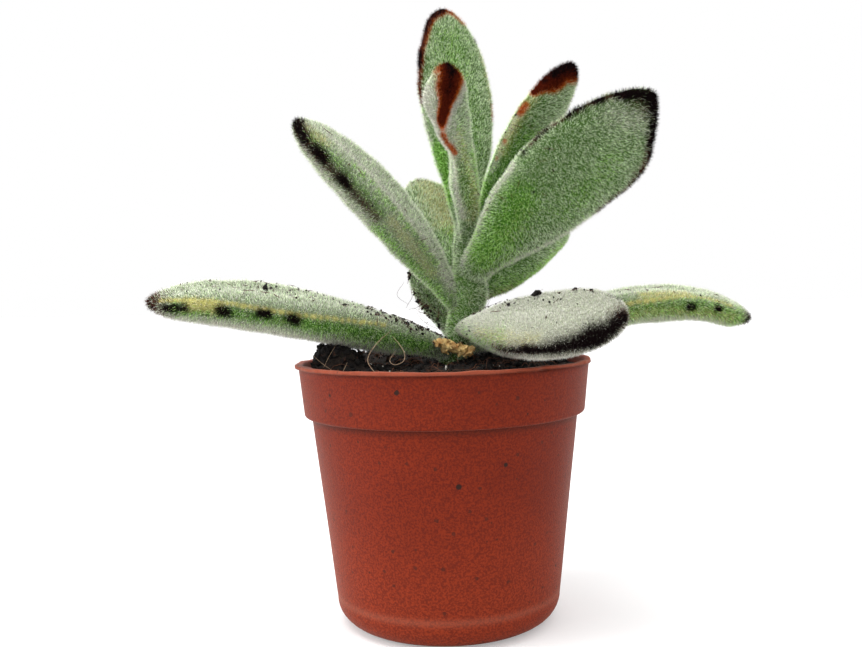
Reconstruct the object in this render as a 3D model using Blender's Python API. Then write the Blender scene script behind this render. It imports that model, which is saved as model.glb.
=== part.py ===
"""A young panda plant (Kalanchoe tomentosa) in a round plastic nursery pot.

Frame: metres, +Z up, origin on the underside of the pot at its centre, +Y towards the back.
Every size below is in millimetres and is turned into metres by MM.
"""

import math

import bmesh
import bpy
from mathutils import Matrix, Vector

MM = 0.001

# ---------------------------------------------------------------- driving sizes, in mm

# nursery pot, injection moulded; each radius below the lip follows from the lip's
POT_RADIUS = 27.5           # outside of the lip, the widest part
POT_HEIGHT = 47.6
LIP_OVERHANG = 0.7          # past the collar
LIP_THICKNESS = 0.6
COLLAR_HEIGHT = 9.6
COLLAR_TAPER = 0.9          # loss of radius down the collar
COLLAR_STEP = 1.4           # from the collar's foot in to the body
STEP_ROUND = 0.6            # soft edge under the collar
BODY_TAPER = 3.8            # loss of radius down the body
HEEL_ROUND = 4.4            # between the wall and the base
POT_WALL = 0.8

# raised ring in the base that carries the drain holes
RECESS_RIM = 2.3            # flat standing ring outside it
RECESS_WIDTH = 6.0
RECESS_DEPTH = 0.9
RECESS_SLOPE = 0.7          # how far its sides lean
DRAIN_RADIUS = 1.9
DRAIN_COUNT = 6

# growing medium
FIT_GAP = 0.3               # air left between pieces that touch
SOIL_BELOW_LIP = 1.8        # at the edge
SOIL_CROWN = 1.6            # how much higher the middle stands than the edge

# stem, from its buried end to the growing tip
STEM_BURIED = 9.0           # below the soil's crown
STEM_FOOT_RADIUS = 2.3
STEM_RADIUS = 2.7
STEM_TIP_RADIUS = 1.6
STEM_RISE = 25.0            # above the soil's crown
STEM_LEAN = 3.6             # how far the stem bows towards +X
STEM_FOOT_X = 1.4

# corky old stem base, a loose collar of bark round the foot of the stem
BARK_LENGTH = 7.6
BARK_WIDTH = 2.6
BARK_HEIGHT = 2.2
BARK_ALONG = 1.4            # its middle is this far past the stem's, towards +X
BARK_FORWARD = 1.6          # between it and the stem
BARK_LIFT = 0.4
BARK_TILT = 20              # degrees, its +X end down

# each leaf: heading and rise are degrees at its root and at its tip, bend above 1 leaves the
# change of rise to the outer part, roll turns the blade about its own middle line, and the root
# sits on the stem at height above the soil's crown
LEAVES = {
    "leaf_lower_left": dict(
        height=2.3, heading=(-155, -176), rise=(18, -7), bend=2.3, roll=(-13, -20),
        length=55.0, width=13.6, thick=8.8, root_wide=5.6, root_thick=4.2,
    ),
    "leaf_lower_right": dict(
        height=2.7, heading=(26, 3), rise=(13, -31), bend=3.4, roll=(-16, 22),
        length=63.0, width=13.5, thick=8.0, root_wide=5.6, root_thick=3.6,
    ),
    "leaf_front_right": dict(
        height=6.2, heading=(-65, -38), rise=(5, 0), bend=1.0, roll=(21, 34),
        length=39.0, width=16.3, thick=9.6, root_wide=4.6, root_thick=3.2,
    ),
    "leaf_rear_left": dict(
        height=5.0, heading=(121, 134), rise=(47, 60), bend=1.0, roll=(0, 0),
        length=17.8, width=10.0, thick=4.8, root_wide=4.6, root_thick=3.0,
    ),
    "leaf_middle_left": dict(
        height=10.2, heading=(-162, -173), rise=(60, 36), bend=1.2, roll=(-46, -22),
        length=44.8, width=14.7, thick=9.0, root_wide=4.8, root_thick=3.2,
    ),
    "leaf_rear_right": dict(
        height=11.6, heading=(51, 42), rise=(28, 17), bend=1.0, roll=(-30, -30),
        length=33.0, width=12.5, thick=6.0, root_wide=4.6, root_thick=3.0,
    ),
    "leaf_broad_right": dict(
        height=15.8, heading=(-60, -6), rise=(33, 42), bend=1.1, roll=(-42, -38),
        length=46.2, width=18.8, thick=7.3, root_wide=6.0, root_thick=3.4,
    ),
    "leaf_rear": dict(
        height=15.6, heading=(100, 122), rise=(39, 45), bend=1.0, roll=(0, 4),
        length=31.0, width=15.2, thick=5.4, root_wide=4.6, root_thick=3.0,
    ),
    "leaf_upper_right": dict(
        height=23.8, heading=(6, 8), rise=(65, 51), bend=0.8, roll=(-39, -39),
        length=36.8, width=12.3, thick=6.2, root_wide=2.8, root_thick=2.2,
    ),
    "leaf_tall_rear": dict(
        height=20.0, heading=(89, 111), rise=(66, 71), bend=1.0, roll=(0, -5),
        length=55.2, width=14.9, thick=5.4, root_wide=4.2, root_thick=2.6,
    ),
    "leaf_young_front": dict(
        height=22.2, heading=(-82, -146), rise=(50, 88), bend=1.5, roll=(-84, -75),
        length=33.0, width=10.6, thick=5.2, root_wide=3.4, root_thick=3.2,
    ),
}
LEAF_ROOT_DEPTH = 1.2       # how near the stem's middle a leaf starts, before it is cut to its seat
LEAF_WIDEST_AT = 0.64       # share of the length
LEAF_FLARE = 1.8            # how late a leaf widens from its root
LEAF_THICKEST_AT = 0.42     # share of the length
LEAF_SWELL = 1.3            # how late a leaf thickens from its root
LEAF_TIP_FULLNESS = 3.2     # above 2 keeps a leaf thick towards its tip
LEAF_UPPER_SHARE = 0.42     # of the thickness, above the middle line
LEAF_CHANNEL = 0.16         # how hollow the upper face is, as a share of the thickness

# facets
TURN_STEPS = 64
STEM_SIDES = 16
LEAF_STATIONS = 18
LEAF_SIDES = 16
WALK_STEPS = 8              # of a leaf's middle line, between two stations
CROWN_STEPS = 5
LAST_RING = 0.9985          # share of the length whose section closes the tip

# ---------------------------------------------------------------- sizes that follow

COLLAR_TOP_RADIUS = POT_RADIUS - LIP_OVERHANG
COLLAR_FOOT_RADIUS = COLLAR_TOP_RADIUS - COLLAR_TAPER
COLLAR_FOOT_Z = POT_HEIGHT - COLLAR_HEIGHT
BODY_TOP_RADIUS = COLLAR_FOOT_RADIUS - COLLAR_STEP
HEEL_RADIUS = BODY_TOP_RADIUS - BODY_TAPER
BASE_RADIUS = HEEL_RADIUS - HEEL_ROUND
RECESS_OUTER_RADIUS = BASE_RADIUS - RECESS_RIM
RECESS_INNER_RADIUS = RECESS_OUTER_RADIUS - RECESS_WIDTH
POT_FLOOR = POT_WALL        # height of the inside floor
SOIL_EDGE_Z = POT_HEIGHT - SOIL_BELOW_LIP
SOIL_CROWN_Z = SOIL_EDGE_Z + SOIL_CROWN
SOIL_RADIUS = COLLAR_FOOT_RADIUS - POT_WALL - FIT_GAP
STEM_FOOT_Z = SOIL_CROWN_Z - STEM_BURIED
STEM_TIP_Z = SOIL_CROWN_Z + STEM_RISE


# ---------------------------------------------------------------- helpers

def clear_scene():
    for old in list(bpy.data.objects):
        bpy.data.objects.remove(old)


def material(name, colour, roughness, metallic=0.0):
    made = bpy.data.materials.new(name)
    made.use_nodes = True
    shader = made.node_tree.nodes["Principled BSDF"]
    shader.inputs["Base Color"].default_value = (*colour, 1.0)
    shader.inputs["Roughness"].default_value = roughness
    shader.inputs["Metallic"].default_value = metallic
    return made


def add_object(name, mesh, finish=None, parent=None):
    made = bpy.data.objects.new(name, mesh)
    bpy.context.scene.collection.objects.link(made)
    if finish:
        mesh.materials.append(finish)
    if parent:
        made.parent = parent
    return made


def make_cutter(obj):
    """A helper solid that shapes its neighbours and isn't a piece itself."""
    obj.hide_render = True
    obj.display_type = "WIRE"
    return obj


def cut(target, cutter, name):
    step = target.modifiers.new(name, "BOOLEAN")
    step.operation = "DIFFERENCE"
    step.object = cutter


def arc(centre, radius, start, end, steps):
    """Points of an arc in the X-Z profile plane, angles in degrees from +X towards +Z."""
    points = []
    for i in range(steps + 1):
        angle = math.radians(start + (end - start) * i / steps)
        points.append((centre[0] + radius * math.cos(angle), centre[1] + radius * math.sin(angle)))
    return points


def turned(name, profile, finish, parent):
    """A solid of revolution about Z. The profile's (radius, height) points run from the
    inside, over the top and down the outside."""
    mesh = bpy.data.meshes.new(name)
    points = [(r * MM, 0, z * MM) for r, z in profile]
    mesh.from_pydata(points, [(i, i + 1) for i in range(len(points) - 1)], [])
    made = add_object(name, mesh, finish, parent)
    screw = made.modifiers.new("turn", "SCREW")
    screw.steps = screw.render_steps = TURN_STEPS
    screw.use_merge_vertices = True
    screw.merge_threshold = 1e-5
    screw.use_smooth_shade = True
    return made


def tube_mesh(name, rings):
    """Closes a list of equal rings of points, first to last, into one skin with flat ends."""
    shape = bmesh.new()
    loops = [[shape.verts.new(point) for point in ring] for ring in rings]
    count = len(loops[0])
    for lower, upper in zip(loops, loops[1:]):
        for i in range(count):
            j = (i + 1) % count
            shape.faces.new((lower[i], lower[j], upper[j], upper[i]))
    shape.faces.new(list(reversed(loops[0])))
    shape.faces.new(loops[-1])
    bmesh.ops.recalc_face_normals(shape, faces=shape.faces)
    mesh = bpy.data.meshes.new(name)
    shape.to_mesh(mesh)
    shape.free()
    mesh.shade_smooth()
    mesh.set_sharp_from_angle(angle=math.radians(50))
    return mesh


# ---------------------------------------------------------------- pot

def pot_outside():
    """(radius, height) points down the outside, from under the lip to the base."""
    points = [(COLLAR_TOP_RADIUS, POT_HEIGHT - LIP_THICKNESS)]
    points += arc((COLLAR_FOOT_RADIUS - STEP_ROUND, COLLAR_FOOT_Z + STEP_ROUND), STEP_ROUND, 0, -90, 3)
    points.append((BODY_TOP_RADIUS, COLLAR_FOOT_Z - STEP_ROUND))
    points += arc((BASE_RADIUS, HEEL_ROUND), HEEL_ROUND, 0, -90, 6)
    return points


def pot_underside():
    """The underside, from the heel to the middle: a flat rim, a raised ring and a flat disc."""
    return [
        (RECESS_OUTER_RADIUS, 0),
        (RECESS_OUTER_RADIUS - RECESS_SLOPE, RECESS_DEPTH),
        (RECESS_INNER_RADIUS + RECESS_SLOPE, RECESS_DEPTH),
        (RECESS_INNER_RADIUS, 0),
        (0, 0),
    ]


def pot_inside(gap=0.0):
    """(radius, height) points up the inside, from the middle of the floor to the lip, moved
    inwards by the gap."""
    heel = HEEL_RADIUS - POT_WALL - gap
    floor_round = HEEL_ROUND - POT_WALL
    floor = POT_FLOOR + gap
    step_low = COLLAR_FOOT_Z - STEP_ROUND + POT_WALL + gap
    points = [
        (0, floor),
        (RECESS_INNER_RADIUS - POT_WALL - gap, floor),
        (RECESS_INNER_RADIUS - POT_WALL - gap + RECESS_SLOPE, floor + RECESS_DEPTH),
        (RECESS_OUTER_RADIUS + POT_WALL + gap - RECESS_SLOPE, floor + RECESS_DEPTH),
        (RECESS_OUTER_RADIUS + POT_WALL + gap, floor),
    ]
    points += arc((heel - floor_round, floor + floor_round), floor_round, -90, 0, 5)[1:]
    points.append((BODY_TOP_RADIUS - POT_WALL - gap, step_low))
    points.append((COLLAR_FOOT_RADIUS - POT_WALL - gap, step_low + STEP_ROUND))
    return points


def build_pot(finish, parent):
    lip = [
        (COLLAR_TOP_RADIUS - POT_WALL, POT_HEIGHT),
        (POT_RADIUS, POT_HEIGHT),
        (POT_RADIUS, POT_HEIGHT - LIP_THICKNESS),
    ]
    pot = turned("pot", pot_inside() + lip + pot_outside() + pot_underside(), finish, parent)
    ring = (RECESS_INNER_RADIUS + RECESS_OUTER_RADIUS) / 2
    for i in range(DRAIN_COUNT):
        turn = math.tau * i / DRAIN_COUNT
        bit = bmesh.new()
        bmesh.ops.create_cone(
            bit, cap_ends=True, segments=24, radius1=DRAIN_RADIUS * MM, radius2=DRAIN_RADIUS * MM,
            depth=4 * (RECESS_DEPTH + POT_WALL) * MM,
        )
        mesh = bpy.data.meshes.new(f"drain_bit_{i + 1}")
        bit.to_mesh(mesh)
        bit.free()
        cutter = make_cutter(add_object(mesh.name, mesh, parent=parent))
        cutter.location = (ring * math.cos(turn) * MM, ring * math.sin(turn) * MM, RECESS_DEPTH * MM)
        cut(pot, cutter, mesh.name)
    return pot


# ---------------------------------------------------------------- soil

def soil_crown(radius, lift=0.0):
    """(radius, height) points of the soil's top, from its edge to its middle."""
    points = []
    for i in range(CROWN_STEPS + 1):
        share = 1 - i / CROWN_STEPS
        points.append((radius * share, SOIL_EDGE_Z + SOIL_CROWN * (1 - share ** 2) + lift))
    return points


def build_soil(stem_hole, finish, parent):
    """Fills the pot to just under the lip and rises gently to the stem. The solid lies inside its
    skin, so its profile runs from the middle of the top, over the edge, to the pot's floor."""
    side = pot_inside(FIT_GAP)
    top = soil_crown(SOIL_RADIUS)
    soil = turned("soil", list(reversed(top)) + list(reversed(side[:-1])), finish, parent)
    cut(soil, stem_hole, "stem_hole")
    return soil


# ---------------------------------------------------------------- stem

def stem_centre(z):
    """Middle line of the stem at a height: it leaves the soil leaning, then straightens."""
    share = max(0.0, min(1.0, (z - SOIL_CROWN_Z) / STEM_RISE))
    bow = 1 - (1 - share) ** 2.6
    return Vector((STEM_FOOT_X + STEM_LEAN * bow, 0, z))


def stem_radius(z):
    share = (z - STEM_FOOT_Z) / (STEM_TIP_Z - STEM_FOOT_Z)
    swell = STEM_FOOT_RADIUS + (STEM_RADIUS - STEM_FOOT_RADIUS) * min(1.0, share * 2)
    closing = max(0.0, (share - 0.85) / 0.15)
    return swell + (STEM_TIP_RADIUS - STEM_RADIUS) * closing ** 2


def stem_mesh(name, extra=0.0):
    rings = []
    steps = 18
    for i in range(steps + 1):
        z = STEM_FOOT_Z - extra + (STEM_TIP_Z - STEM_FOOT_Z + 2 * extra) * i / steps
        middle = stem_centre(z)
        radius = stem_radius(min(max(z, STEM_FOOT_Z), STEM_TIP_Z)) + extra
        rings.append([
            (middle + radius * Vector((math.cos(a), math.sin(a), 0))) * MM
            for a in (math.tau * k / STEM_SIDES for k in range(STEM_SIDES))
        ])
    return tube_mesh(name, rings)


# ---------------------------------------------------------------- leaves

def leaf_turn(spec, share):
    """Heading, rise and roll of a leaf at a share of its length, in radians."""
    late = share ** spec["bend"]
    heading = spec["heading"][0] + (spec["heading"][1] - spec["heading"][0]) * share
    rise = spec["rise"][0] + (spec["rise"][1] - spec["rise"][0]) * late
    roll = spec["roll"][0] + (spec["roll"][1] - spec["roll"][0]) * share
    return math.radians(heading), math.radians(rise), math.radians(roll)


def leaf_along(spec, share):
    heading, rise, _ = leaf_turn(spec, share)
    return Vector((
        math.cos(rise) * math.cos(heading), math.cos(rise) * math.sin(heading), math.sin(rise),
    ))


def leaf_line(spec):
    """Middle line of a leaf and its frame at each station: (point, side, upper, share). The
    stations crowd towards the tip, where the outline turns."""
    z = SOIL_CROWN_Z + spec["height"]
    point = stem_centre(z)
    point += leaf_along({**spec, "rise": (0, 0)}, 0) * LEAF_ROOT_DEPTH
    stations = []
    for i in range(LEAF_STATIONS + 1):
        share = math.sin(math.pi / 2 * i / LEAF_STATIONS)
        heading, _, roll = leaf_turn(spec, share)
        along = leaf_along(spec, share)
        side = Vector((-math.sin(heading), math.cos(heading), 0))
        turn = Matrix.Rotation(roll, 3, along)
        stations.append((point.copy(), turn @ side, turn @ along.cross(side), share))
        ahead = math.sin(math.pi / 2 * min(i + 1, LEAF_STATIONS) / LEAF_STATIONS)
        for k in range(WALK_STEPS):
            part = share + (ahead - share) * (k + 0.5) / WALK_STEPS
            point += leaf_along(spec, part) * spec["length"] * (ahead - share) / WALK_STEPS
    return stations


def leaf_width(share, root):
    """From the root's share of the full width, out to 1, and round to nothing at the tip."""
    if share < LEAF_WIDEST_AT:
        return root + (1 - root) * math.sin(math.pi / 2 * share / LEAF_WIDEST_AT) ** LEAF_FLARE
    return math.sqrt(max(0, 1 - ((share - LEAF_WIDEST_AT) / (1 - LEAF_WIDEST_AT)) ** 2))


def leaf_thickness(share, root):
    if share < LEAF_THICKEST_AT:
        return root + (1 - root) * math.sin(math.pi / 2 * share / LEAF_THICKEST_AT) ** LEAF_SWELL
    past = (share - LEAF_THICKEST_AT) / (1 - LEAF_THICKEST_AT)
    return math.sqrt(max(0, 1 - past ** LEAF_TIP_FULLNESS))


def leaf_mesh(name, spec):
    rings = []
    for point, side, upper, share in leaf_line(spec):
        share = min(share, LAST_RING)
        full = leaf_width(share, spec["root_wide"] / spec["width"])
        half_width = spec["width"] * full / 2
        thick = spec["thick"] * leaf_thickness(share, spec["root_thick"] / spec["thick"])
        ring = []
        for k in range(LEAF_SIDES):
            angle = math.tau * k / LEAF_SIDES
            across, high = math.cos(angle), math.sin(angle)
            if high > 0:     # the upper face is flatter and a little hollow
                lift = high * LEAF_UPPER_SHARE - LEAF_CHANNEL * full * (1 - across ** 2) ** 2
            else:
                lift = high * (1 - LEAF_UPPER_SHARE)
            ring.append((point + side * across * half_width + upper * lift * thick) * MM)
        rings.append(ring)
    return tube_mesh(name, rings)


# ---------------------------------------------------------------- bark

def build_bark(stem_hole, soil_rise, finish, parent):
    """A flake of old corky stem that lies against the foot of the stem, towards the front."""
    lump = bmesh.new()
    bmesh.ops.create_icosphere(lump, subdivisions=3, radius=1.0)
    for vert in lump.verts:
        ripple = 0.10 * math.sin(5 * vert.co.x + 1.3) + 0.07 * math.sin(9 * vert.co.y + 0.4)
        vert.co *= 1 + ripple
    mesh = bpy.data.meshes.new("bark_flake")
    lump.to_mesh(mesh)
    lump.free()
    half_sizes = (BARK_LENGTH / 2 * MM, BARK_WIDTH / 2 * MM, BARK_HEIGHT / 2 * MM, 1)
    mesh.transform(Matrix.Diagonal(half_sizes))
    mesh.shade_smooth()
    flake = add_object("bark_flake", mesh, finish, parent)
    foot = stem_centre(SOIL_CROWN_Z)
    flake.location = (
        (foot.x + BARK_ALONG) * MM,
        -(stem_radius(SOIL_CROWN_Z) + BARK_WIDTH / 2 + BARK_FORWARD) * MM,
        (SOIL_CROWN_Z + BARK_HEIGHT / 2 + BARK_LIFT) * MM,
    )
    flake.rotation_euler = (0, math.radians(BARK_TILT), 0)
    cut(flake, stem_hole, "stem_side")
    cut(flake, soil_rise, "soil_side")
    return flake


# ---------------------------------------------------------------- the whole plant

def build():
    clear_scene()
    plastic = material("pot_plastic", (0.42, 0.085, 0.04), 0.55)
    peat = material("peat", (0.018, 0.012, 0.009), 0.95)
    felt = material("leaf_felt", (0.26, 0.36, 0.20), 0.85)
    stem_skin = material("stem_felt", (0.30, 0.42, 0.20), 0.85)
    cork = material("bark", (0.48, 0.34, 0.14), 0.9)

    origin = bpy.data.objects.new("potted_plant", None)
    bpy.context.scene.collection.objects.link(origin)

    stem_hole = make_cutter(add_object("stem_clearance", stem_mesh("stem_clearance", FIT_GAP), parent=origin))
    rise_profile = soil_crown(POT_RADIUS, FIT_GAP) + [(0, POT_FLOOR), (POT_RADIUS, POT_FLOOR)]
    soil_rise = make_cutter(turned("soil_clearance", list(reversed(rise_profile)), None, origin))
    build_pot(plastic, origin)
    build_soil(stem_hole, peat, origin)
    add_object("stem", stem_mesh("stem"), stem_skin, origin)
    for name, spec in LEAVES.items():
        leaf = add_object(name, leaf_mesh(name, spec), felt, origin)
        cut(leaf, stem_hole, "stem_seat")
        cut(leaf, soil_rise, "soil_seat")
    build_bark(stem_hole, soil_rise, cork, origin)


build()
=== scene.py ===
import math

import bpy
import numpy as np
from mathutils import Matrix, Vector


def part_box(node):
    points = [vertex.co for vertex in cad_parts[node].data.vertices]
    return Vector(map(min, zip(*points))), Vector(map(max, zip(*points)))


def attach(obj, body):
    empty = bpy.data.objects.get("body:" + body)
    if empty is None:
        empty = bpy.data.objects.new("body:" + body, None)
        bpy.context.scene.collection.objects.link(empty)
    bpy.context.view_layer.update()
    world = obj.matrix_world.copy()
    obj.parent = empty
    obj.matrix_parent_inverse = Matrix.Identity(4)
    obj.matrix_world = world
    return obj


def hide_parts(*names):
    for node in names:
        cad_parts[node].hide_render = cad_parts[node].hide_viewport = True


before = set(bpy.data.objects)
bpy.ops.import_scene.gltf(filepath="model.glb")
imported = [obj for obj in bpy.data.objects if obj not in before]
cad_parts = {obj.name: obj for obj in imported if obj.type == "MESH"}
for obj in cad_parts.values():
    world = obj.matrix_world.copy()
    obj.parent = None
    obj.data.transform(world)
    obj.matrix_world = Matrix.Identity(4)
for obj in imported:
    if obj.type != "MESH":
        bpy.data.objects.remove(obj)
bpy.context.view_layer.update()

mm = 0.001
turn = 2 * math.pi
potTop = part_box("pot")[1][2] / mm       # heights in this file are in mm, from the base up
soilDrop, soilRise = 1.8, 1.6           # the soil's edge below the lip, its middle above its edge
soilEdge = potTop - soilDrop
soilCrown = soilEdge + soilRise


# camera, floor and light
viewer = dict(distance=0.170, height=0.0603, pitch=2.005, roll=-1.346, lens=38.09, sensor=36,
              shiftX=-0.0136, shiftY=-0.0003, near=0.01)

cameraData = bpy.data.cameras.new("camera")
cameraData.lens = viewer["lens"]
cameraData.sensor_width = viewer["sensor"]
cameraData.shift_x = viewer["shiftX"]
cameraData.shift_y = viewer["shiftY"]
cameraData.clip_start = viewer["near"]
camera = bpy.data.objects.new("camera", cameraData)
bpy.context.scene.collection.objects.link(camera)
camera.rotation_mode = "XYZ"
camera.location = (0, -viewer["distance"], viewer["height"])
camera.rotation_euler = (math.radians(90 - viewer["pitch"]), 0, 0)
camera.rotation_euler.rotate_axis("Z", math.radians(viewer["roll"]))
bpy.context.scene.camera = camera
bpy.context.scene.view_settings.view_transform = "Standard"
print("camera ready")


def addNode(tree, kind, links=None, **settings):
    # one shader node: settings are its properties, links its inputs by name or number
    made = tree.nodes.new("ShaderNode" + kind)
    for key, value in settings.items():
        setattr(made, key, value)
    for socket, source in (links or {}).items():
        if isinstance(source, bpy.types.NodeSocket):
            tree.links.new(source, made.inputs[socket])
        else:
            made.inputs[socket].default_value = source
    return made


def colour(red, green, blue):
    return (red, green, blue, 1)


def mixColours(tree, factor, first, second):
    made = addNode(tree, "Mix", {0: factor, 6: first, 7: second}, data_type="RGBA")
    return made.outputs[2]


def maths(tree, operation, first, second=0.0, clamp=False):
    made = addNode(tree, "Math", {0: first, 1: second}, operation=operation, use_clamp=clamp)
    return made.outputs[0]


def ramp(tree, value, low, high):
    # 0 below low, 1 above high, smooth between
    made = addNode(tree, "MapRange", {"Value": value, "From Min": low, "From Max": high},
                   interpolation_type="SMOOTHSTEP")
    return made.outputs[0]


# the sky's strength where the viewer stands, beside and behind, overhead, and as the camera sees it
studio = dict(ahead=0.80, beside=1.08, above=1.30, seen=1.0, frontEdge=(-0.95, -0.15),
              skyEdge=(0.1, 0.9))
lights = dict(top=dict(place=(-0.15, -0.10, 0.62), size=0.30, power=2.3),
              left=dict(place=(-0.55, -0.12, 0.25), size=0.30, power=1.5))
lightAim = (0, 0, 0.07)
card = dict(half=3, drop=0.0001, grey=(0.70, 0.73), glow=0.30)      # the floor, just under the pot

world = bpy.data.worlds.new("studio")
bpy.context.scene.world = world
world.use_nodes = True
tree = world.node_tree
tree.nodes.clear()
direction = addNode(tree, "TexCoord").outputs["Generated"]
parts = addNode(tree, "SeparateXYZ", {0: direction})
awayFromFront = ramp(tree, parts.outputs["Y"], *studio["frontEdge"])
upward = ramp(tree, parts.outputs["Z"], *studio["skyEdge"])
level = addNode(tree, "Mix", {0: awayFromFront, 2: studio["ahead"], 3: studio["beside"]})
level = addNode(tree, "Mix", {0: upward, 2: level.outputs[0], 3: studio["above"]})
plain = addNode(tree, "Background", {"Color": colour(1, 1, 1), "Strength": level.outputs[0]})
shown = addNode(tree, "Background", {"Color": colour(1, 1, 1), "Strength": studio["seen"]})
path = addNode(tree, "LightPath")
both = addNode(tree, "MixShader", {0: path.outputs["Is Camera Ray"], 1: plain.outputs[0],
                                   2: shown.outputs[0]})
addNode(tree, "OutputWorld", {"Surface": both.outputs[0]})


def softLight(name, place, aim, size, power):
    # a square area light turned to face its aim
    data = bpy.data.lights.new(name, "AREA")
    data.shape = "SQUARE"
    data.size = size
    data.energy = power
    lamp = bpy.data.objects.new(name, data)
    bpy.context.scene.collection.objects.link(lamp)
    lamp.location = place
    away = np.array(aim, float) - place
    lamp.rotation_mode = "XYZ"
    lamp.rotation_euler = (math.atan2(math.hypot(away[0], away[1]), -away[2]), 0,
                           math.atan2(-away[0], away[1]))


for name, light in lights.items():
    softLight(name + " light", light["place"], lightAim, light["size"], light["power"])

floorMesh = bpy.data.meshes.new("floor")
floorMesh.from_pydata([(x * card["half"], y * card["half"], 0)
                       for x, y in ((-1, -1), (1, -1), (1, 1), (-1, 1))], [], [(0, 1, 2, 3)])
floor = bpy.data.objects.new("floor", floorMesh)
floor.location.z = -card["drop"]
bpy.context.scene.collection.objects.link(floor)
print("studio ready")


# shader groups that more than one material uses
def newGroup(name, inputs, outputs):
    group = bpy.data.node_groups.new(name, "ShaderNodeTree")
    kinds = {"colour": "NodeSocketColor", "value": "NodeSocketFloat"}
    for label, kind, value in inputs:
        socket = group.interface.new_socket(label, in_out="INPUT", socket_type=kinds[kind])
        socket.default_value = value
    for label, kind in outputs:
        group.interface.new_socket(label, in_out="OUTPUT", socket_type=kinds[kind])
    start = group.nodes.new("NodeGroupInput")
    end = group.nodes.new("NodeGroupOutput")
    return group, start.outputs, end.inputs


def objectPlace(tree):
    return addNode(tree, "TexCoord").outputs["Object"]


markKinds = ("pale", "green", "lime", "rust", "brown", "dark")   # painted in this order, last on top
markReach = dict(rust=(0.08, 0.42))        # where a mark's colour starts and is full; others below
softReach = (0.05, 0.95)
orangeReach = (0.3, 0.62)                  # rust is orange below this, where it thins out


def makeFeltTint():
    # base colour, then each mark's colour laid over it where the piece's own mark attribute says
    white = colour(1, 1, 1)
    inputs = [("Base", "colour", white)]
    inputs += [(kind.title(), "colour", white) for kind in (*markKinds, "orange")]
    inputs += [("Fray", "value", 0.5), ("Mottle", "value", 0.3), ("Blotch Scale", "value", 260.0)]
    group, given, wanted = newGroup("felt tint", inputs, [("Color", "colour"), ("Height", "value")])
    place = objectPlace(group)
    fine = addNode(group, "TexNoise", {"Vector": place, "Scale": 3200.0, "Detail": 2.0})
    blotch = addNode(group, "TexNoise", {"Vector": place, "Scale": given["Blotch Scale"],
                                         "Detail": 3.0, "Roughness": 0.6})
    wander = maths(group, "SUBTRACT", fine.outputs["Fac"], 0.5)
    wander = maths(group, "MULTIPLY", wander, given["Fray"])
    shade = maths(group, "SUBTRACT", blotch.outputs["Fac"], 0.5)
    shade = maths(group, "MULTIPLY", shade, given["Mottle"])
    shade = maths(group, "ADD", shade, 1.0)
    found = given["Base"]
    for kind in markKinds:
        mark = addNode(group, "Attribute", attribute_name=kind + "Mark").outputs["Fac"]
        mark = maths(group, "ADD", mark, maths(group, "MULTIPLY", wander, mark))
        laid = given[kind.title()]
        if kind == "rust":
            laid = mixColours(group, ramp(group, mark, *orangeReach), given["Orange"], laid)
        reach = ramp(group, mark, *markReach.get(kind, softReach))
        found = mixColours(group, reach, found, laid)
    shaded = addNode(group, "VectorMath", {0: found, "Scale": shade}, operation="SCALE")
    group.links.new(shaded.outputs[0], wanted["Color"])
    group.links.new(fine.outputs["Fac"], wanted["Height"])
    return group


def makeSpecks():
    # scattered dots: one of random size in some cells of a Voronoi pattern, the other cells empty
    inputs = [("Scale", "value", 300.0), ("Share", "value", 0.1), ("Size", "value", 0.3)]
    group, given, wanted = newGroup("specks", inputs, [("Mask", "value")])
    cells = addNode(group, "TexVoronoi", {"Vector": objectPlace(group), "Scale": given["Scale"],
                                          "Randomness": 1.0})
    luck = addNode(group, "SeparateColor", {0: cells.outputs["Color"]})
    chosen = maths(group, "LESS_THAN", luck.outputs[0], given["Share"])
    reach = maths(group, "MULTIPLY", luck.outputs[1], given["Size"])
    inside = maths(group, "SUBTRACT", reach, cells.outputs["Distance"])
    inside = maths(group, "MULTIPLY", inside, 12.0, clamp=True)
    group.links.new(maths(group, "MULTIPLY", inside, chosen), wanted["Mask"])
    return group


def makeGrain():
    # a fine and a broad noise, for moulded and crumbly surfaces
    inputs = [("Scale", "value", 2500.0), ("Broad Scale", "value", 120.0)]
    group, given, wanted = newGroup("grain", inputs, [("Fine", "value"), ("Broad", "value")])
    place = objectPlace(group)
    fine = addNode(group, "TexNoise", {"Vector": place, "Scale": given["Scale"], "Detail": 3.0,
                                       "Roughness": 0.65})
    broad = addNode(group, "TexNoise", {"Vector": place, "Scale": given["Broad Scale"],
                                        "Detail": 4.0, "Roughness": 0.55})
    group.links.new(fine.outputs["Fac"], wanted["Fine"])
    group.links.new(broad.outputs["Fac"], wanted["Broad"])
    return group


feltTint = makeFeltTint()
specks = makeSpecks()
grain = makeGrain()


def useGroup(tree, group, **values):
    made = tree.nodes.new("ShaderNodeGroup")
    made.node_tree = group
    for label, value in values.items():
        socket = made.inputs[label.replace("_", " ")]
        if isinstance(value, bpy.types.NodeSocket):
            tree.links.new(value, socket)
        else:
            socket.default_value = value
    return made.outputs


def newMaterial(name, roughness=0.6, specular=0.4, **constants):
    made = bpy.data.materials.new(name)
    made.use_nodes = True
    tree = made.node_tree
    tree.nodes.clear()
    surface = addNode(tree, "BsdfPrincipled",
                      {"Roughness": roughness, "Specular IOR Level": specular})
    for label, value in constants.items():
        surface.inputs[label.replace("_", " ")].default_value = value
    addNode(tree, "OutputMaterial", {"Surface": surface.outputs[0]})
    return made, tree, surface.inputs


def bump(tree, surface, height, strength, distance):
    made = addNode(tree, "Bump", {"Height": height, "Strength": strength, "Distance": distance})
    tree.links.new(made.outputs[0], surface["Normal"])


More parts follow.
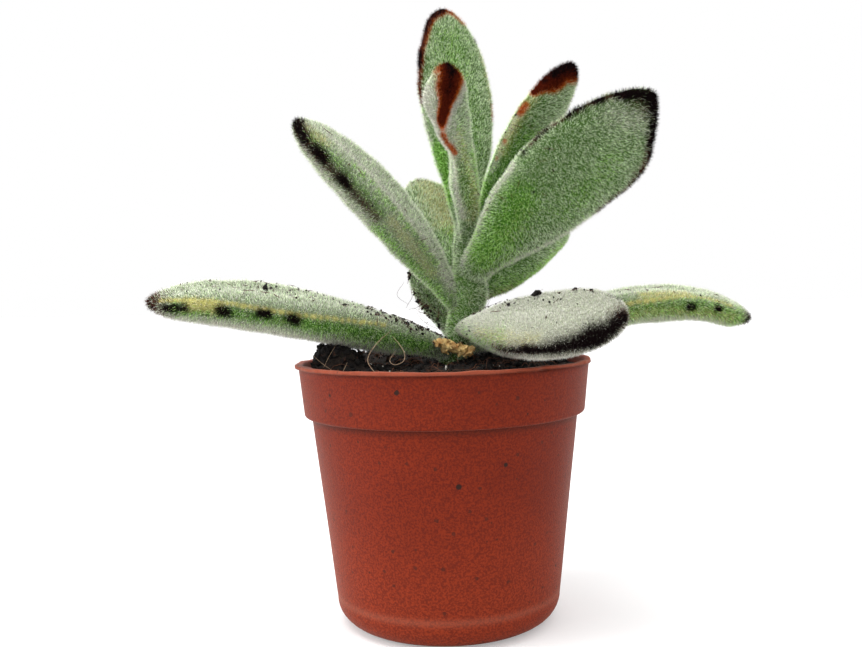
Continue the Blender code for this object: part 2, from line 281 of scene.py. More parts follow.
def grainyMaterial(name, finish):
    # two colours mixed by the broad noise, between the finish's limits where it has any; fine bumps
    made, tree, surface = newMaterial(name, finish["rough"], finish["shine"])
    tone = useGroup(tree, grain, Scale=finish["fine"], Broad_Scale=finish["broad"])
    share = ramp(tree, tone["Broad"], *finish["between"]) if "between" in finish else tone["Broad"]
    found = mixColours(tree, share, colour(*finish["darker"]), colour(*finish["lighter"]))
    tree.links.new(found, surface["Base Color"])
    bump(tree, surface, tone["Fine"], *finish["bump"])
    return made, tree, surface, tone, found


floorPaint, tree, surface = newMaterial("white card", 0.9, 0.1, Emission_Color=colour(1, 1, 1))
tone = useGroup(tree, grain, Scale=400.0, Broad_Scale=8.0)
tree.links.new(mixColours(tree, tone["Broad"], *(colour(grey, grey, grey) for grey in card["grey"])),
               surface["Base Color"])
# the glow makes the card look white, while its bounce stays soft
seen = addNode(tree, "LightPath").outputs["Is Camera Ray"]
tree.links.new(maths(tree, "MULTIPLY", seen, card["glow"]), surface["Emission Strength"])
floorMesh.materials.append(floorPaint)


def newPiece(name, points, faceSets, material, marks=None, smooth=True):
    # points in mm, faceSets arrays of corner numbers, one array for each number of corners
    mesh = bpy.data.meshes.new(name)
    corners = np.concatenate([faces.ravel() for faces in faceSets]).astype(np.int32)
    counts = np.concatenate([np.full(len(faces), faces.shape[1]) for faces in faceSets])
    starts = np.concatenate([[0], np.cumsum(counts)[:-1]]).astype(np.int32)
    mesh.vertices.add(len(points))
    mesh.vertices.foreach_set("co", (np.asarray(points) * mm).astype(np.float32).ravel())
    mesh.loops.add(len(corners))
    mesh.loops.foreach_set("vertex_index", corners)
    mesh.polygons.add(len(counts))
    mesh.polygons.foreach_set("loop_start", starts)
    mesh.update(calc_edges=True)
    mesh.polygons.foreach_set("use_smooth", np.full(len(counts), smooth))
    for kind, values in (marks or {}).items():
        stored = mesh.attributes.new(kind, "FLOAT", "POINT")
        stored.data.foreach_set("value", values.astype(np.float32).ravel())
    mesh.materials.append(material)
    piece = bpy.data.objects.new(name, mesh)
    bpy.context.scene.collection.objects.link(piece)
    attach(piece, "root")
    return piece


def gridFaces(rows, columns):
    # four-cornered faces between neighbouring rows, the last column joined to the first
    row, column = np.meshgrid(np.arange(rows - 1), np.arange(columns), indexing="ij")
    after = (column + 1) % columns
    quads = np.stack([row * columns + column, row * columns + after,
                      (row + 1) * columns + after, (row + 1) * columns + column], -1)
    return quads.reshape(-1, 4)


def capFaces(rows, columns, startPole, endPole):
    # a fan of triangles from the pole point to the first row, and one to the last
    column = np.arange(columns)
    after = (column + 1) % columns
    last = (rows - 1) * columns
    low = np.stack([np.full(columns, startPole), after, column], -1)
    high = np.stack([np.full(columns, endPole), last + column, last + after], -1)
    return np.concatenate([low, high])


def closedSkin(grid, startPole, endPole):
    # the grid's points, the two pole points, and the faces that close them
    rows, columns = grid.shape[:2]
    points = np.concatenate([grid.reshape(-1, 3), [startPole, endPole]])
    count = rows * columns
    return points, [gridFaces(rows, columns), capFaces(rows, columns, count, count + 1)]


def unit(vectors):
    # each vector at length one
    return vectors / np.maximum(np.linalg.norm(vectors, axis=-1, keepdims=True), 1e-9)


def outwardOf(grid):
    # across the columns times along the rows, which points out of a skin made by gridFaces
    around = np.roll(grid, -1, 1) - np.roll(grid, 1, 1)
    along = np.gradient(grid, axis=0)
    return unit(np.cross(around, along))


def fullTurn(count):
    # evenly spaced angles all the way round
    return turn * np.arange(count) / count


def spokes(angle):
    # unit vectors round Z
    return np.stack([np.cos(angle), np.sin(angle), 0 * angle], -1)


def cellsAt(grid, rowShare, share, degrees):
    # the grid's rows and columns nearest to the given shares and angles
    row = np.abs(rowShare[:, None] - share).argmin(0)
    return row, np.round(degrees / 360 * grid.shape[1]).astype(int) % grid.shape[1]


def waves(points, size, seed, count=7):
    # smooth bumps between about -1 and 1: a sum of sines over space, each with its own direction
    draw = np.random.default_rng(seed)
    heading = unit(draw.normal(size=(count, 3))) * draw.uniform(0.6, 1.6, (count, 1)) * turn / size
    shift = draw.uniform(0, turn, count)
    return np.sin(np.asarray(points) @ heading.T + shift).sum(-1) / math.sqrt(count)


# felt: the skin under the hairs, and the hairs
skinColours = dict(Base=colour(0.060, 0.125, 0.028), Green=colour(0.045, 0.130, 0.013),
                   Lime=colour(0.42, 0.40, 0.13), Pale=colour(0.32, 0.33, 0.26),
                   Rust=colour(0.060, 0.008, 0.003), Orange=colour(0.30, 0.050, 0.006),
                   Brown=colour(0.036, 0.012, 0.009), Dark=colour(0.005, 0.003, 0.003))
rootColours = dict(Base=colour(0.44, 0.64, 0.28), Green=colour(0.28, 0.60, 0.10),
                   Lime=colour(0.66, 0.62, 0.25), Pale=colour(0.58, 0.58, 0.49),
                   Rust=colour(0.070, 0.008, 0.004), Orange=colour(0.40, 0.075, 0.008),
                   Brown=colour(0.070, 0.024, 0.016), Dark=colour(0.006, 0.003, 0.004))
tipColours = dict(Base=colour(0.94, 1.00, 0.80), Green=colour(0.66, 0.95, 0.34),
                  Lime=colour(0.92, 0.86, 0.54), Pale=colour(0.80, 0.79, 0.73),
                  Rust=colour(0.115, 0.016, 0.007), Orange=colour(0.50, 0.120, 0.016),
                  Brown=colour(0.130, 0.052, 0.036), Dark=colour(0.011, 0.006, 0.007))

feltSkin, tree, surface = newMaterial("felt skin", 0.8, 0.0)
tint = useGroup(tree, feltTint, Fray=1.2, Mottle=0.9, Blotch_Scale=1500.0, **skinColours)
tree.links.new(tint["Color"], surface["Base Color"])
bump(tree, surface, tint["Height"], 0.5, 0.0002)

feltHair, tree, surface = newMaterial("felt hair", 0.8, 0.0)
nearRoot = useGroup(tree, feltTint, Fray=0.0, Mottle=1.5, Blotch_Scale=1900.0, **rootColours)
nearTip = useGroup(tree, feltTint, Fray=0.0, Mottle=1.1, Blotch_Scale=1900.0, **tipColours)
reach = addNode(tree, "Attribute", attribute_name="reach").outputs["Fac"]
found = mixColours(tree, reach, nearRoot["Color"], nearTip["Color"])
luck = addNode(tree, "Attribute", attribute_name="shade").outputs["Fac"]   # some hairs are duller
found = addNode(tree, "VectorMath", {0: found, "Scale": luck}, operation="SCALE")
tree.links.new(found.outputs[0], surface["Base Color"])


def strokeMarks(points, curves):
    # for each kind of mark, 1 on its strokes and falling off as a bell curve with distance from them
    flat = points.reshape(-1, 3)
    found = {}
    for kind in markKinds:
        clear = np.ones(len(flat))
        for width, strength, line in curves[kind]:
            gap = np.full(len(flat), np.inf)
            for knot, reach in zip(line, np.linspace(*width, len(line))):
                gap = np.minimum(gap, ((flat - knot) ** 2).sum(-1) / reach ** 2)
            clear *= 1 - strength * np.exp(-gap)
        found[kind] = (1 - clear).reshape(points.shape[:-1])
    return found


def furPiece(name, grid, outward, curves, hoar, fur, seed):
    # hairs spread evenly over a skin: each is a four-faced spike from a point inside one grid cell,
    # leaning from the skin's outward direction, mostly towards the next rows; a mark either takes a
    # whole hair or misses it, by chance, while rust thins out evenly
    draw = np.random.default_rng(seed)
    rows, columns = grid.shape[:2]
    right = np.roll(grid, -1, 1)[:-1]
    here, ahead, aheadRight = grid[:-1], grid[1:], np.roll(grid, -1, 1)[1:]
    area = np.linalg.norm(np.cross(aheadRight - here, ahead - right), axis=-1) / 2
    count = min(int(area.sum() * fur["perSquare"]), fur["most"])
    ends = np.cumsum(area.ravel())
    cell = np.searchsorted(ends, draw.uniform(0, ends[-1], count)).clip(0, area.size - 1)
    row, column = np.divmod(cell, columns)
    after = (column + 1) % columns
    forward, aside = draw.random((2, count, 1))

    def inside(field):
        low = field[row, column] * (1 - aside) + field[row, after] * aside
        high = field[row + 1, column] * (1 - aside) + field[row + 1, after] * aside
        return low * (1 - forward) + high * forward

    root = inside(grid)
    out = unit(inside(outward))
    comb = unit(grid[row + 1, column] - grid[row, column])
    comb = unit(comb * fur["comb"] + draw.normal(size=(count, 3)))
    comb = unit(comb - out * (comb * out).sum(-1, keepdims=True))
    lean = np.radians(draw.uniform(*fur["lean"], (count, 1)))
    lie = out * np.cos(lean) + comb * np.sin(lean)
    marks = strokeMarks(root, curves)
    marks["pale"] = 1 - (1 - marks["pale"]) * (1 - inside(hoar[..., None])[:, 0])
    luck = draw.uniform(0.05, 0.95, (len(markKinds), count))
    marks = {kind: np.clip((marks[kind] - luck[k]) * fur["contrast"] + 0.5, 0, 1) if kind != "rust"
             else marks[kind] * (fur["rustLeast"] + fur["rustMore"] * luck[k])
             for k, kind in enumerate(markKinds)}
    tall = draw.uniform(*fur["long"], (count, 1)) * (1 + fur["darkLonger"] * marks["dark"][:, None])
    edgeA = unit(np.cross(lie, draw.normal(size=(count, 3))))
    edgeB = np.cross(lie, edgeA)
    thick = fur["thick"] * draw.uniform(0.8, 1.2, (count, 1))
    spin = fullTurn(3)[None, :, None]
    ring = np.cos(spin) * edgeA[:, None] + np.sin(spin) * edgeB[:, None]
    base = (root - out * fur["sunk"])[:, None] + ring * thick[:, None]
    tip = (root + lie * tall)[:, None]
    points = np.concatenate([base, tip], 1).reshape(-1, 3)
    shape = np.array([[0, 1, 3], [1, 2, 3], [2, 0, 3], [0, 2, 1]])
    faces = (np.arange(count)[:, None, None] * 4 + shape).reshape(-1, 3)
    stored = {kind + "Mark": np.repeat(value, 4) for kind, value in marks.items()}
    stored["reach"] = np.tile([0.0, 0.0, 0.0, 1.0], count)
    stored["shade"] = np.repeat(draw.uniform(*fur["shade"], count), 4)
    piece = newPiece(name, points, [faces], feltHair, stored)
    side = math.ceil(math.sqrt(count))            # every hair has its own square of the bake map
    margin = 0.05
    square = np.stack(np.divmod(np.arange(count), side), -1)[:, None, None]
    spots = np.array([[[0, 0], [1, 0], [0.5, 1]]] * 3 + [[[0, 0], [0.5, 0.1], [1, 0]]])
    spots = spots * (1 - 2 * margin) + margin
    layer = piece.data.uv_layers.new(name="OFBake")
    layer.data.foreach_set("uv", ((square + spots) / side).astype(np.float32).ravel())
    return piece


stem = dict(buried=9.0, footRadius=2.3, radius=2.7, tipRadius=1.6, rise=25.0, lean=3.6, footX=1.4,
            rows=110, columns=64, inset=0.25, fuller=0.65, fullestAt=0.62, fullFor=0.3, aside=0.75,
            waveHeight=0.12, waveSize=3.2, seed=5, furSeed=90)


def stemCentre(height):
    # the middle line: straight up, bowed to the right by a power of the height's share
    share = np.clip((np.asarray(height, float) - soilCrown) / stem["rise"], 0, 1)
    bow = stem["footX"] + stem["lean"] * (1 - (1 - share) ** 2.6)
    return np.stack([bow, 0 * bow, np.asarray(height, float) + 0 * bow], -1)


def stemGrid():
    # rings round the bowed middle line, swelling to full radius half way up and drawn in at the tip,
    # fuller and pushed to the right where the leaf pairs meet it, with low waves all over
    foot, tip = soilCrown - stem["buried"], soilCrown + stem["rise"]
    share = np.linspace(0, 1, stem["rows"])
    height = foot + (tip - foot) * share
    swell = stem["footRadius"] + (stem["radius"] - stem["footRadius"]) * np.minimum(1, share * 2)
    closing = np.maximum(0, (share - 0.85) / 0.15) ** 2
    joint = np.clip(1 - abs(share - stem["fullestAt"]) / stem["fullFor"], 0, 1)
    radius = swell + (stem["tipRadius"] - stem["radius"]) * closing - stem["inset"]
    radius = radius + stem["fuller"] * joint
    centre = stemCentre(height)[:, None] + (stem["aside"] * joint)[:, None, None] * (1, 0, 0)
    spoke = spokes(fullTurn(stem["columns"]))[None]
    grid = centre + spoke * radius[:, None, None]
    rough = stem["waveHeight"] * waves(grid, stem["waveSize"], stem["seed"])
    return grid + spoke * rough[..., None]


leafShape = dict(rows=150, columns=104, inset=0.35, rootDepth=1.2, widestAt=0.64, flare=1.8,
                 thickestAt=0.42, swell=1.3, tipFullness=3.2, upperShare=0.42, channel=0.16,
                 waves=((0.10, 8.0, 0), (0.04, 2.2, 50)), firstSeed=20)   # height, size, added to seed
leafFur = dict(perSquare=27, most=44000, long=(0.42, 0.86), lean=(8, 52), comb=0.6, thick=0.041,
               sunk=0.08, darkLonger=0.10, shade=(0.65, 1.45), contrast=3, rustLeast=0.62,
               rustMore=0.6, firstSeed=60)

# angles run round a leaf's section in degrees: 0 and 180 are its edges, 90 its upper face, 270 its
# lower face. Shares run from root 0 to tip 1. A stroke is (width mm or first and last width,
# strength, its knots); a bulge is (share, angle, its reach in each, height mm); litter is a patch
# of crumbs, (first and last share, first and last angle, count, size mm). hoar is how silvery the
# upper and lower faces are.
leaves = {
    "lower_left": dict(
        height=2.3, heading=(-155, -176), rise=(18, -7), bend=2.3, roll=(-13, -20), length=55.0,
        width=13.6, thick=8.8, rootWide=5.6, rootThick=4.2, hoar=(0.5, 0.4),
        dark=[(1.5, 0.6, [(0.985, 0), (0.99, 60), (1.0, 180)]),
              ((1.1, 0.8), 0.85, [(0.93, 355), (0.87, 3)]), (1.1, 1.0, [(0.765, 0), (0.745, 358)]),
              (0.95, 1.0, [(0.645, 2), (0.625, 2)]), (1.05, 1.0, [(0.56, 0), (0.54, 357)]),
              (1.5, 1.0, [(0.88, 180)]), (1.1, 1.0, [(0.74, 180)]), (0.9, 1.0, [(0.6, 180)])],
        brown=[(3.0, 0.85, [(0.985, 0), (0.99, 60), (1.0, 180)]),
               (1.5, 0.28, [(0.9, 0), (0.54, 358)])],
        lime=[(0.5, 0.95, [(0.95, 34), (0.86, 31), (0.73, 24), (0.63, 16), (0.53, 12), (0.4, 18),
                           (0.26, 30)]), (1.2, 0.8, [(0.86, 14), (0.78, 12)])],
        green=[(1.4, 0.8, [(0.9, 355), (0.7, 355), (0.5, 352), (0.3, 355), (0.1, 350)]),
               (2.0, 0.35, [(0.5, 338), (0.3, 335), (0.12, 325)])],
        pale=[(2.2, 0.8, [(0.95, 305), (0.7, 308), (0.5, 305), (0.35, 295)]),
              (1.6, 0.6, [(0.35, 290), (0.2, 300)])],
        litter=[(0.1, 0.7, 60, 140, 130, 0.35), (0.02, 0.32, 30, 120, 110, 0.5),
                (0.55, 0.95, 50, 130, 34, 0.26), (0.62, 0.64, 95, 105, 5, 0.7)]),
    "lower_right": dict(
        height=2.7, heading=(26, 3), rise=(13, -31), bend=3.4, roll=(-16, 22), length=63.0,
        width=13.5, thick=8.0, rootWide=5.6, rootThick=3.6, hoar=(0.5, 0.3),
        bulges=[(0.93, 240, 0.06, 70, 0.9)],
        dark=[(1.4, 0.85, [(0.985, 180), (0.99, 240), (1.0, 300)]),
              (0.95, 1.0, [(0.76, 182), (0.745, 183)]), (0.8, 1.0, [(0.865, 173), (0.85, 174)]),
              (1.0, 1.0, [(0.8, 0)]), (1.2, 1.0, [(0.9, 0)])],
        brown=[(2.4, 0.5, [(0.985, 180), (1.0, 270)])],
        lime=[(0.5, 0.95, [(0.5, 172), (0.6, 165), (0.7, 150), (0.79, 138), (0.9, 140)]),
              (1.4, 0.7, [(0.6, 140), (0.75, 125)]),
              (1.8, 0.35, [(0.5, 205), (0.75, 200), (0.92, 195)])],
        green=[(2.4, 0.75, [(0.45, 200), (0.6, 195), (0.8, 185), (0.95, 190)])],
        pale=[(1.4, 0.6, [(0.6, 235), (0.9, 225)])],
        litter=[(0.4, 0.95, 60, 150, 22, 0.35), (0.05, 0.4, 60, 150, 40, 0.6)]),
    "front_right": dict(
        height=6.2, heading=(-65, -38), rise=(5, 0), bend=1.0, roll=(21, 34), length=39.0,
        width=16.3, thick=9.6, rootWide=4.6, rootThick=3.2, hoar=(0.85, 0.9),
        fur=dict(long=(0.35, 0.70), shade=(0.85, 1.15)),
        dark=[((0.6, 1.0), 0.9, [(0.49, 192), (0.66, 187)]),
              ((1.0, 2.1), 1.0, [(0.66, 187), (0.8, 185), (0.92, 182)]),
              ((2.1, 1.3), 1.0, [(0.92, 182), (0.975, 177), (1.0, 60)]), (1.2, 1.0, [(0.9, 0)]),
              (1.0, 1.0, [(0.75, 0)])],
        brown=[((1.2, 1.4), 0.6, [(0.44, 193), (0.66, 188)]),
               (2.4, 0.35, [(0.7, 186), (0.95, 180)]), (1.8, 0.7, [(0.985, 90), (0.99, 40)])],
        lime=[(1.6, 0.35, [(0.3, 170), (0.5, 165), (0.7, 160)])],
        green=[(2.4, 0.45, [(0.1, 200), (0.3, 195), (0.5, 170)])],
        pale=[(1.8, 0.9, [(0.3, 225), (0.5, 222), (0.7, 218), (0.9, 222)])],
        litter=[(0.2, 0.7, 58, 85, 30, 0.35), (0.3, 0.8, 80, 130, 8, 0.3),
                (0.51, 0.53, 55, 60, 2, 1.5), (0.70, 0.82, 46, 53, 12, 0.4),
                (0.71, 0.72, 116, 118, 1, 0.8), (0.05, 0.3, 60, 200, 14, 0.45)]),
    "rear_left": dict(
        height=5.0, heading=(121, 134), rise=(47, 60), bend=1.0, roll=(0, 0), length=17.8,
        width=10.0, thick=4.8, rootWide=4.6, rootThick=3.0, hoar=(0.35, 0.35),
        dark=[(1.0, 0.9, [(0.97, 60)])],
        green=[(3.0, 0.4, [(0.2, 90), (0.6, 70)])],
        pale=[(0.6, 0.7, [(0.5, 180), (0.9, 180)])],
        litter=[(0.74, 0.84, 345, 370, 12, 0.7), (0.1, 0.6, 340, 375, 60, 0.55),
                (0.1, 0.5, 20, 100, 16, 0.3)]),
    "middle_left": dict(
        height=10.2, heading=(-162, -173), rise=(60, 36), bend=1.2, roll=(-46, -22), length=44.8,
        width=14.7, thick=9.0, rootWide=4.8, rootThick=3.2, hoar=(0.5, 0.5),
        dark=[((1.6, 1.4), 1.0, [(1.0, 120), (0.985, 30), (0.96, 0), (0.92, 352)]),
              ((1.35, 1.25), 1.0, [(0.85, 355), (0.81, 357)]),
              ((1.15, 1.0), 1.0, [(0.705, 357), (0.675, 357)]),
              ((0.7, 0.8), 0.5, [(0.90, 353), (0.70, 357)]),
              ((0.8, 0.6), 0.4, [(0.64, 357), (0.56, 357)]), (1.0, 1.0, [(0.85, 180)]),
              (0.9, 1.0, [(0.7, 180)])],
        brown=[((1.7, 1.2), 0.65, [(0.98, 0), (0.86, 350), (0.68, 356), (0.5, 357)])],
        lime=[(1.4, 0.35, [(0.45, 20), (0.3, 15), (0.18, 10)]),
              (1.6, 0.4, [(0.95, 40), (0.85, 40)])],
        green=[(1.3, 0.55, [(0.9, 18), (0.7, 18), (0.5, 15)]),
               (2.0, 0.7, [(0.45, 335), (0.25, 335), (0.05, 340)]),
               (1.0, 0.6, [(0.7, 52), (0.35, 45), (0.2, 45)])],
        pale=[(0.9, 0.9, [(0.85, 80), (0.6, 76), (0.35, 62), (0.1, 60)]),
              (0.8, 0.8, [(0.9, 325), (0.6, 322), (0.3, 318)])],
        litter=[(0.3, 0.95, 10, 110, 22, 0.32)]),
    "rear_right": dict(
        height=11.6, heading=(51, 42), rise=(28, 17), bend=1.0, roll=(-30, -30), length=33.0,
        width=12.5, thick=6.0, rootWide=4.6, rootThick=3.0, hoar=(0.1, 0.0),
        bulges=[(0.45, 275, 0.3, 60, 0.9)],
        # the wide faint dark stroke on the lower face is painted shadow from broad_right; the others
        # are spots
        dark=[(1.2, 1.0, [(0.99, 0), (0.99, 180)]), (0.9, 1.0, [(0.8, 0)]),
              (0.9, 1.0, [(0.8, 180)]), (3.4, 0.30, [(0.1, 270), (0.4, 290)])],
        lime=[(1.6, 0.4, [(0.1, 270), (0.3, 270)])],
        green=[(4.0, 0.9, [(0.2, 270), (0.5, 270), (0.8, 270)]),
               (3.0, 0.6, [(0.4, 90), (0.7, 90)])],
        pale=[(0.6, 0.6, [(0.3, 180), (0.8, 180)]), (0.6, 0.6, [(0.3, 0), (0.8, 0)])]),
    "broad_right": dict(
        height=15.8, heading=(-60, -6), rise=(33, 42), bend=1.1, roll=(-42, -38), length=46.2,
        width=18.8, thick=7.3, rootWide=6.0, rootThick=3.4, hoar=(0.12, 0.12),
        bulges=[(0.80, 335, 0.13, 34, 1.6), (0.985, 240, 0.035, 60, 0.9),
                (0.92, 195, 0.06, 35, -0.5)],
        dark=[(1.5, 1.0, [(0.925, 190), (0.96, 210), (0.985, 255)]),
              ((2.3, 1.9), 1.0, [(0.985, 255), (0.965, 305), (0.91, 325)]),
              ((1.8, 1.1), 1.0, [(0.91, 325), (0.84, 336)]),
              ((1.2, 1.1), 1.0, [(0.78, 340), (0.745, 341)]),
              ((1.1, 0.8), 0.9, [(0.69, 342), (0.61, 343)]), (0.7, 0.7, [(0.9, 184)]),
              (1.0, 1.0, [(0.86, 181), (0.84, 180)]), (1.15, 1.0, [(0.79, 175), (0.755, 174)]),
              (1.0, 0.8, [(0.665, 173), (0.63, 174)]), (0.8, 0.85, [(0.57, 184)])],
        brown=[((1.9, 1.2), 0.85, [(0.9, 326), (0.7, 340), (0.58, 342)]),
               (2.6, 0.5, [(0.95, 210), (0.97, 290)]),
               (0.75, 0.85, [(0.92, 186), (0.8, 177), (0.65, 174), (0.6, 178)])],
        lime=[(2.6, 0.12, [(0.3, 262), (0.42, 255)])],
        green=[(3.4, 0.85, [(0.15, 255), (0.3, 250), (0.45, 238)]),
               (3.4, 0.35, [(0.55, 290), (0.75, 280)]), (4.5, 0.5, [(0.2, 90), (0.5, 90)])],
        pale=[(0.9, 0.95, [(0.05, 195), (0.2, 190), (0.4, 185), (0.5, 184)]),
              (1.0, 0.95, [(0.1, 330), (0.3, 338), (0.5, 342)]),
              (2.5, 0.35, [(0.85, 230), (0.92, 270)])],
        litter=[(0.3, 0.75, 190, 260, 14, 0.22), (0.63, 0.64, 212, 215, 1, 0.45),
                (0.59, 0.6, 236, 239, 1, 0.45), (0.48, 0.49, 221, 224, 1, 0.4),
                (0.41, 0.42, 212, 215, 1, 0.6), (0.51, 0.52, 251, 254, 1, 0.6)]),
    "rear": dict(
        height=15.6, heading=(100, 122), rise=(39, 45), bend=1.0, roll=(0, 4), length=31.0,
        width=15.2, thick=5.4, rootWide=4.6, rootThick=3.0, hoar=(0.2, 0.3),
        dark=[(0.5, 0.7, [(0.93, 20)]), (1.0, 0.9, [(0.99, 270)])],
        brown=[(1.0, 0.5, [(0.96, 60)])],
        lime=[(4.5, 0.45, [(0.5, 90), (0.85, 90)])],
        green=[(2.4, 0.7, [(0.1, 90), (0.4, 90)])],
        pale=[(0.7, 0.8, [(0.3, 0), (0.9, 0)]), (0.7, 0.8, [(0.3, 180), (0.9, 180)])]),
    "upper_right": dict(
        height=23.8, heading=(6, 8), rise=(65, 51), bend=0.8, roll=(-39, -39), length=36.8,
        width=12.3, thick=6.2, rootWide=2.8, rootThick=2.2, hoar=(0.1, 0.15),
        dark=[(1.6, 1.0, [(0.95, 185), (0.99, 230), (0.98, 290)]),
              (1.3, 1.0, [(0.94, 190), (0.86, 190)]), (0.7, 0.8, [(0.8, 184)]),
              (1.2, 1.0, [(0.97, 0), (0.9, 0)]), (0.9, 1.0, [(0.75, 0)])],
        rust=[(2.2, 1.0, [(0.97, 250), (0.92, 205), (0.84, 196)]),
              ((1.9, 1.0), 1.0, [(0.84, 192), (0.73, 180)]),
              ((1.1, 0.9), 0.42, [(0.64, 184), (0.60, 184)]), (0.7, 0.34, [(0.45, 180)]),
              (0.6, 0.3, [(0.36, 178)])],
        lime=[(1.4, 0.4, [(0.7, 186), (0.55, 188), (0.4, 186)])],
        green=[(3.2, 0.7, [(0.15, 225), (0.35, 235), (0.5, 245)]),
               (3.0, 0.6, [(0.2, 90), (0.5, 90)])],
        pale=[(0.7, 0.8, [(0.62, 182), (0.45, 180), (0.3, 178)]),
              (0.9, 0.75, [(0.85, 310), (0.7, 320)])],
        litter=[(0.4, 0.6, 150, 200, 7, 0.3), (0.15, 0.6, 200, 250, 5, 0.25)]),
    "tall_rear": dict(
        height=20.0, heading=(89, 111), rise=(66, 71), bend=1.0, roll=(0, -5), length=55.2,
        width=14.9, thick=5.4, rootWide=4.2, rootThick=2.6, hoar=(0.1, 0.1),
        dark=[(1.2, 0.7, [(0.97, 20), (0.995, 60)]), (0.9, 0.75, [(0.94, 8), (0.9, 8)]),
              ((1.0, 1.1), 0.95, [(0.80, 4), (0.75, 5)]), (0.7, 0.6, [(0.69, 6)]),
              (0.8, 1.0, [(0.85, 180)])],
        rust=[((1.4, 1.0), 0.85, [(0.99, 60), (0.95, 14), (0.85, 4), (0.75, 2)]),
              ((0.9, 0.6), 0.5, [(0.72, 4), (0.60, 5)]), (0.6, 0.4, [(0.58, 177), (0.52, 177)]),
              (0.9, 0.4, [(0.98, 130), (0.93, 165)])],
        brown=[((1.5, 1.0), 0.8, [(0.99, 60), (0.95, 14), (0.85, 6), (0.7, 6), (0.6, 6)])],
        lime=[(1.0, 0.3, [(0.8, 174), (0.6, 174)])],
        green=[(4.0, 0.45, [(0.35, 90), (0.6, 90), (0.85, 90)]),
               (1.6, 1.0, [(0.4, 35), (0.3, 35), (0.2, 35)])],
        pale=[(0.6, 0.85, [(0.55, 3), (0.4, 3), (0.2, 3)]), (0.6, 0.5, [(0.9, 176), (0.7, 176)])],
        litter=[(0.3, 0.9, 40, 140, 8, 0.22)]),
    "young_front": dict(
        height=22.2, heading=(-82, -146), rise=(50, 88), bend=1.5, roll=(-84, -75), length=33.0,
        width=10.6, thick=5.2, rootWide=3.4, rootThick=3.2, hoar=(0.1, 0.22),
        bulges=[(0.83, 318, 0.09, 38, 1.5), (0.9, 110, 0.08, 45, 1.2), (0.52, 305, 0.09, 45, -1.7),
                (0.42, 95, 0.25, 40, 0.5)],
        dark=[(1.0, 0.85, [(0.985, 90), (0.95, 86)]), ((0.9, 0.7), 0.55, [(0.95, 84), (0.84, 56)])],
        rust=[((2.7, 1.6), 1.0, [(0.97, 92), (0.93, 78), (0.86, 60)]),
              ((1.6, 0.75), 1.0, [(0.86, 60), (0.79, 39), (0.735, 4)]),
              (0.8, 0.5, [(0.715, 355), (0.70, 352)]),
              ((0.8, 0.7), 0.45, [(0.66, 345), (0.625, 345)]),
              (0.7, 0.42, [(0.60, 2), (0.575, 14)])],
        lime=[(2.0, 0.35, [(0.62, 60), (0.4, 50), (0.2, 30)])],
        green=[(1.5, 0.6, [(0.5, 95), (0.35, 90), (0.2, 80)]),
               (1.4, 0.45, [(0.66, 70), (0.5, 50), (0.3, 20)])],
        pale=[(0.9, 0.95, [(0.88, 125), (0.80, 92), (0.74, 38), (0.70, 15)]),
              (3.0, 1.0, [(0.84, 325), (0.74, 318), (0.62, 316)]),
              (0.8, 0.9, [(0.56, 345), (0.45, 325), (0.2, 318)]),
              (0.5, 0.6, [(0.78, 122), (0.46, 122)])],
        litter=[(0.3, 0.6, 20, 80, 3, 0.2)]),
}


def leafDirections(leaf, share):
    # heading and roll turn evenly along the leaf, rise by a power of the share
    heading = np.radians(leaf["heading"][0] + (leaf["heading"][1] - leaf["heading"][0]) * share)
    rise = np.radians(leaf["rise"][0] + (leaf["rise"][1] - leaf["rise"][0]) * share ** leaf["bend"])
    roll = np.radians(leaf["roll"][0] + (leaf["roll"][1] - leaf["roll"][0]) * share)[:, None]
    along = np.stack([np.cos(rise) * np.cos(heading), np.cos(rise) * np.sin(heading),
                      np.sin(rise)], -1)
    side = np.stack([-np.sin(heading), np.cos(heading), 0 * heading], -1)
    up = np.cross(along, side)
    return along, side * np.cos(roll) + up * np.sin(roll), up * np.cos(roll) - side * np.sin(roll)


def leafCentres(leaf, share):
    # the middle line: the direction along the leaf added up from its root at the stem
    steps = 400
    middle = (np.arange(steps) + 0.5) / steps
    along = leafDirections(leaf, middle)[0] * leaf["length"] / steps
    out = math.radians(leaf["heading"][0])
    root = stemCentre(soilCrown + leaf["height"])
    root = root + leafShape["rootDepth"] * np.array([math.cos(out), math.sin(out), 0])
    line = np.concatenate([[root], root + np.cumsum(along, 0)])
    knots = np.linspace(0, 1, steps + 1)
    return np.stack([np.interp(share, knots, line[:, k]) for k in range(3)], -1)


def leafSwell(share, start, peak, power, fullness):
    # a sine's rise from the root's size to full size at the peak, then a rounded fall to the tip
    rising = start + (1 - start) * np.sin(math.pi / 2 * np.clip(share / peak, 0, 1)) ** power
    past = np.clip((share - peak) / (1 - peak), 0, 1)
    return np.where(share < peak, rising, np.sqrt(np.maximum(0, 1 - past ** fullness)))


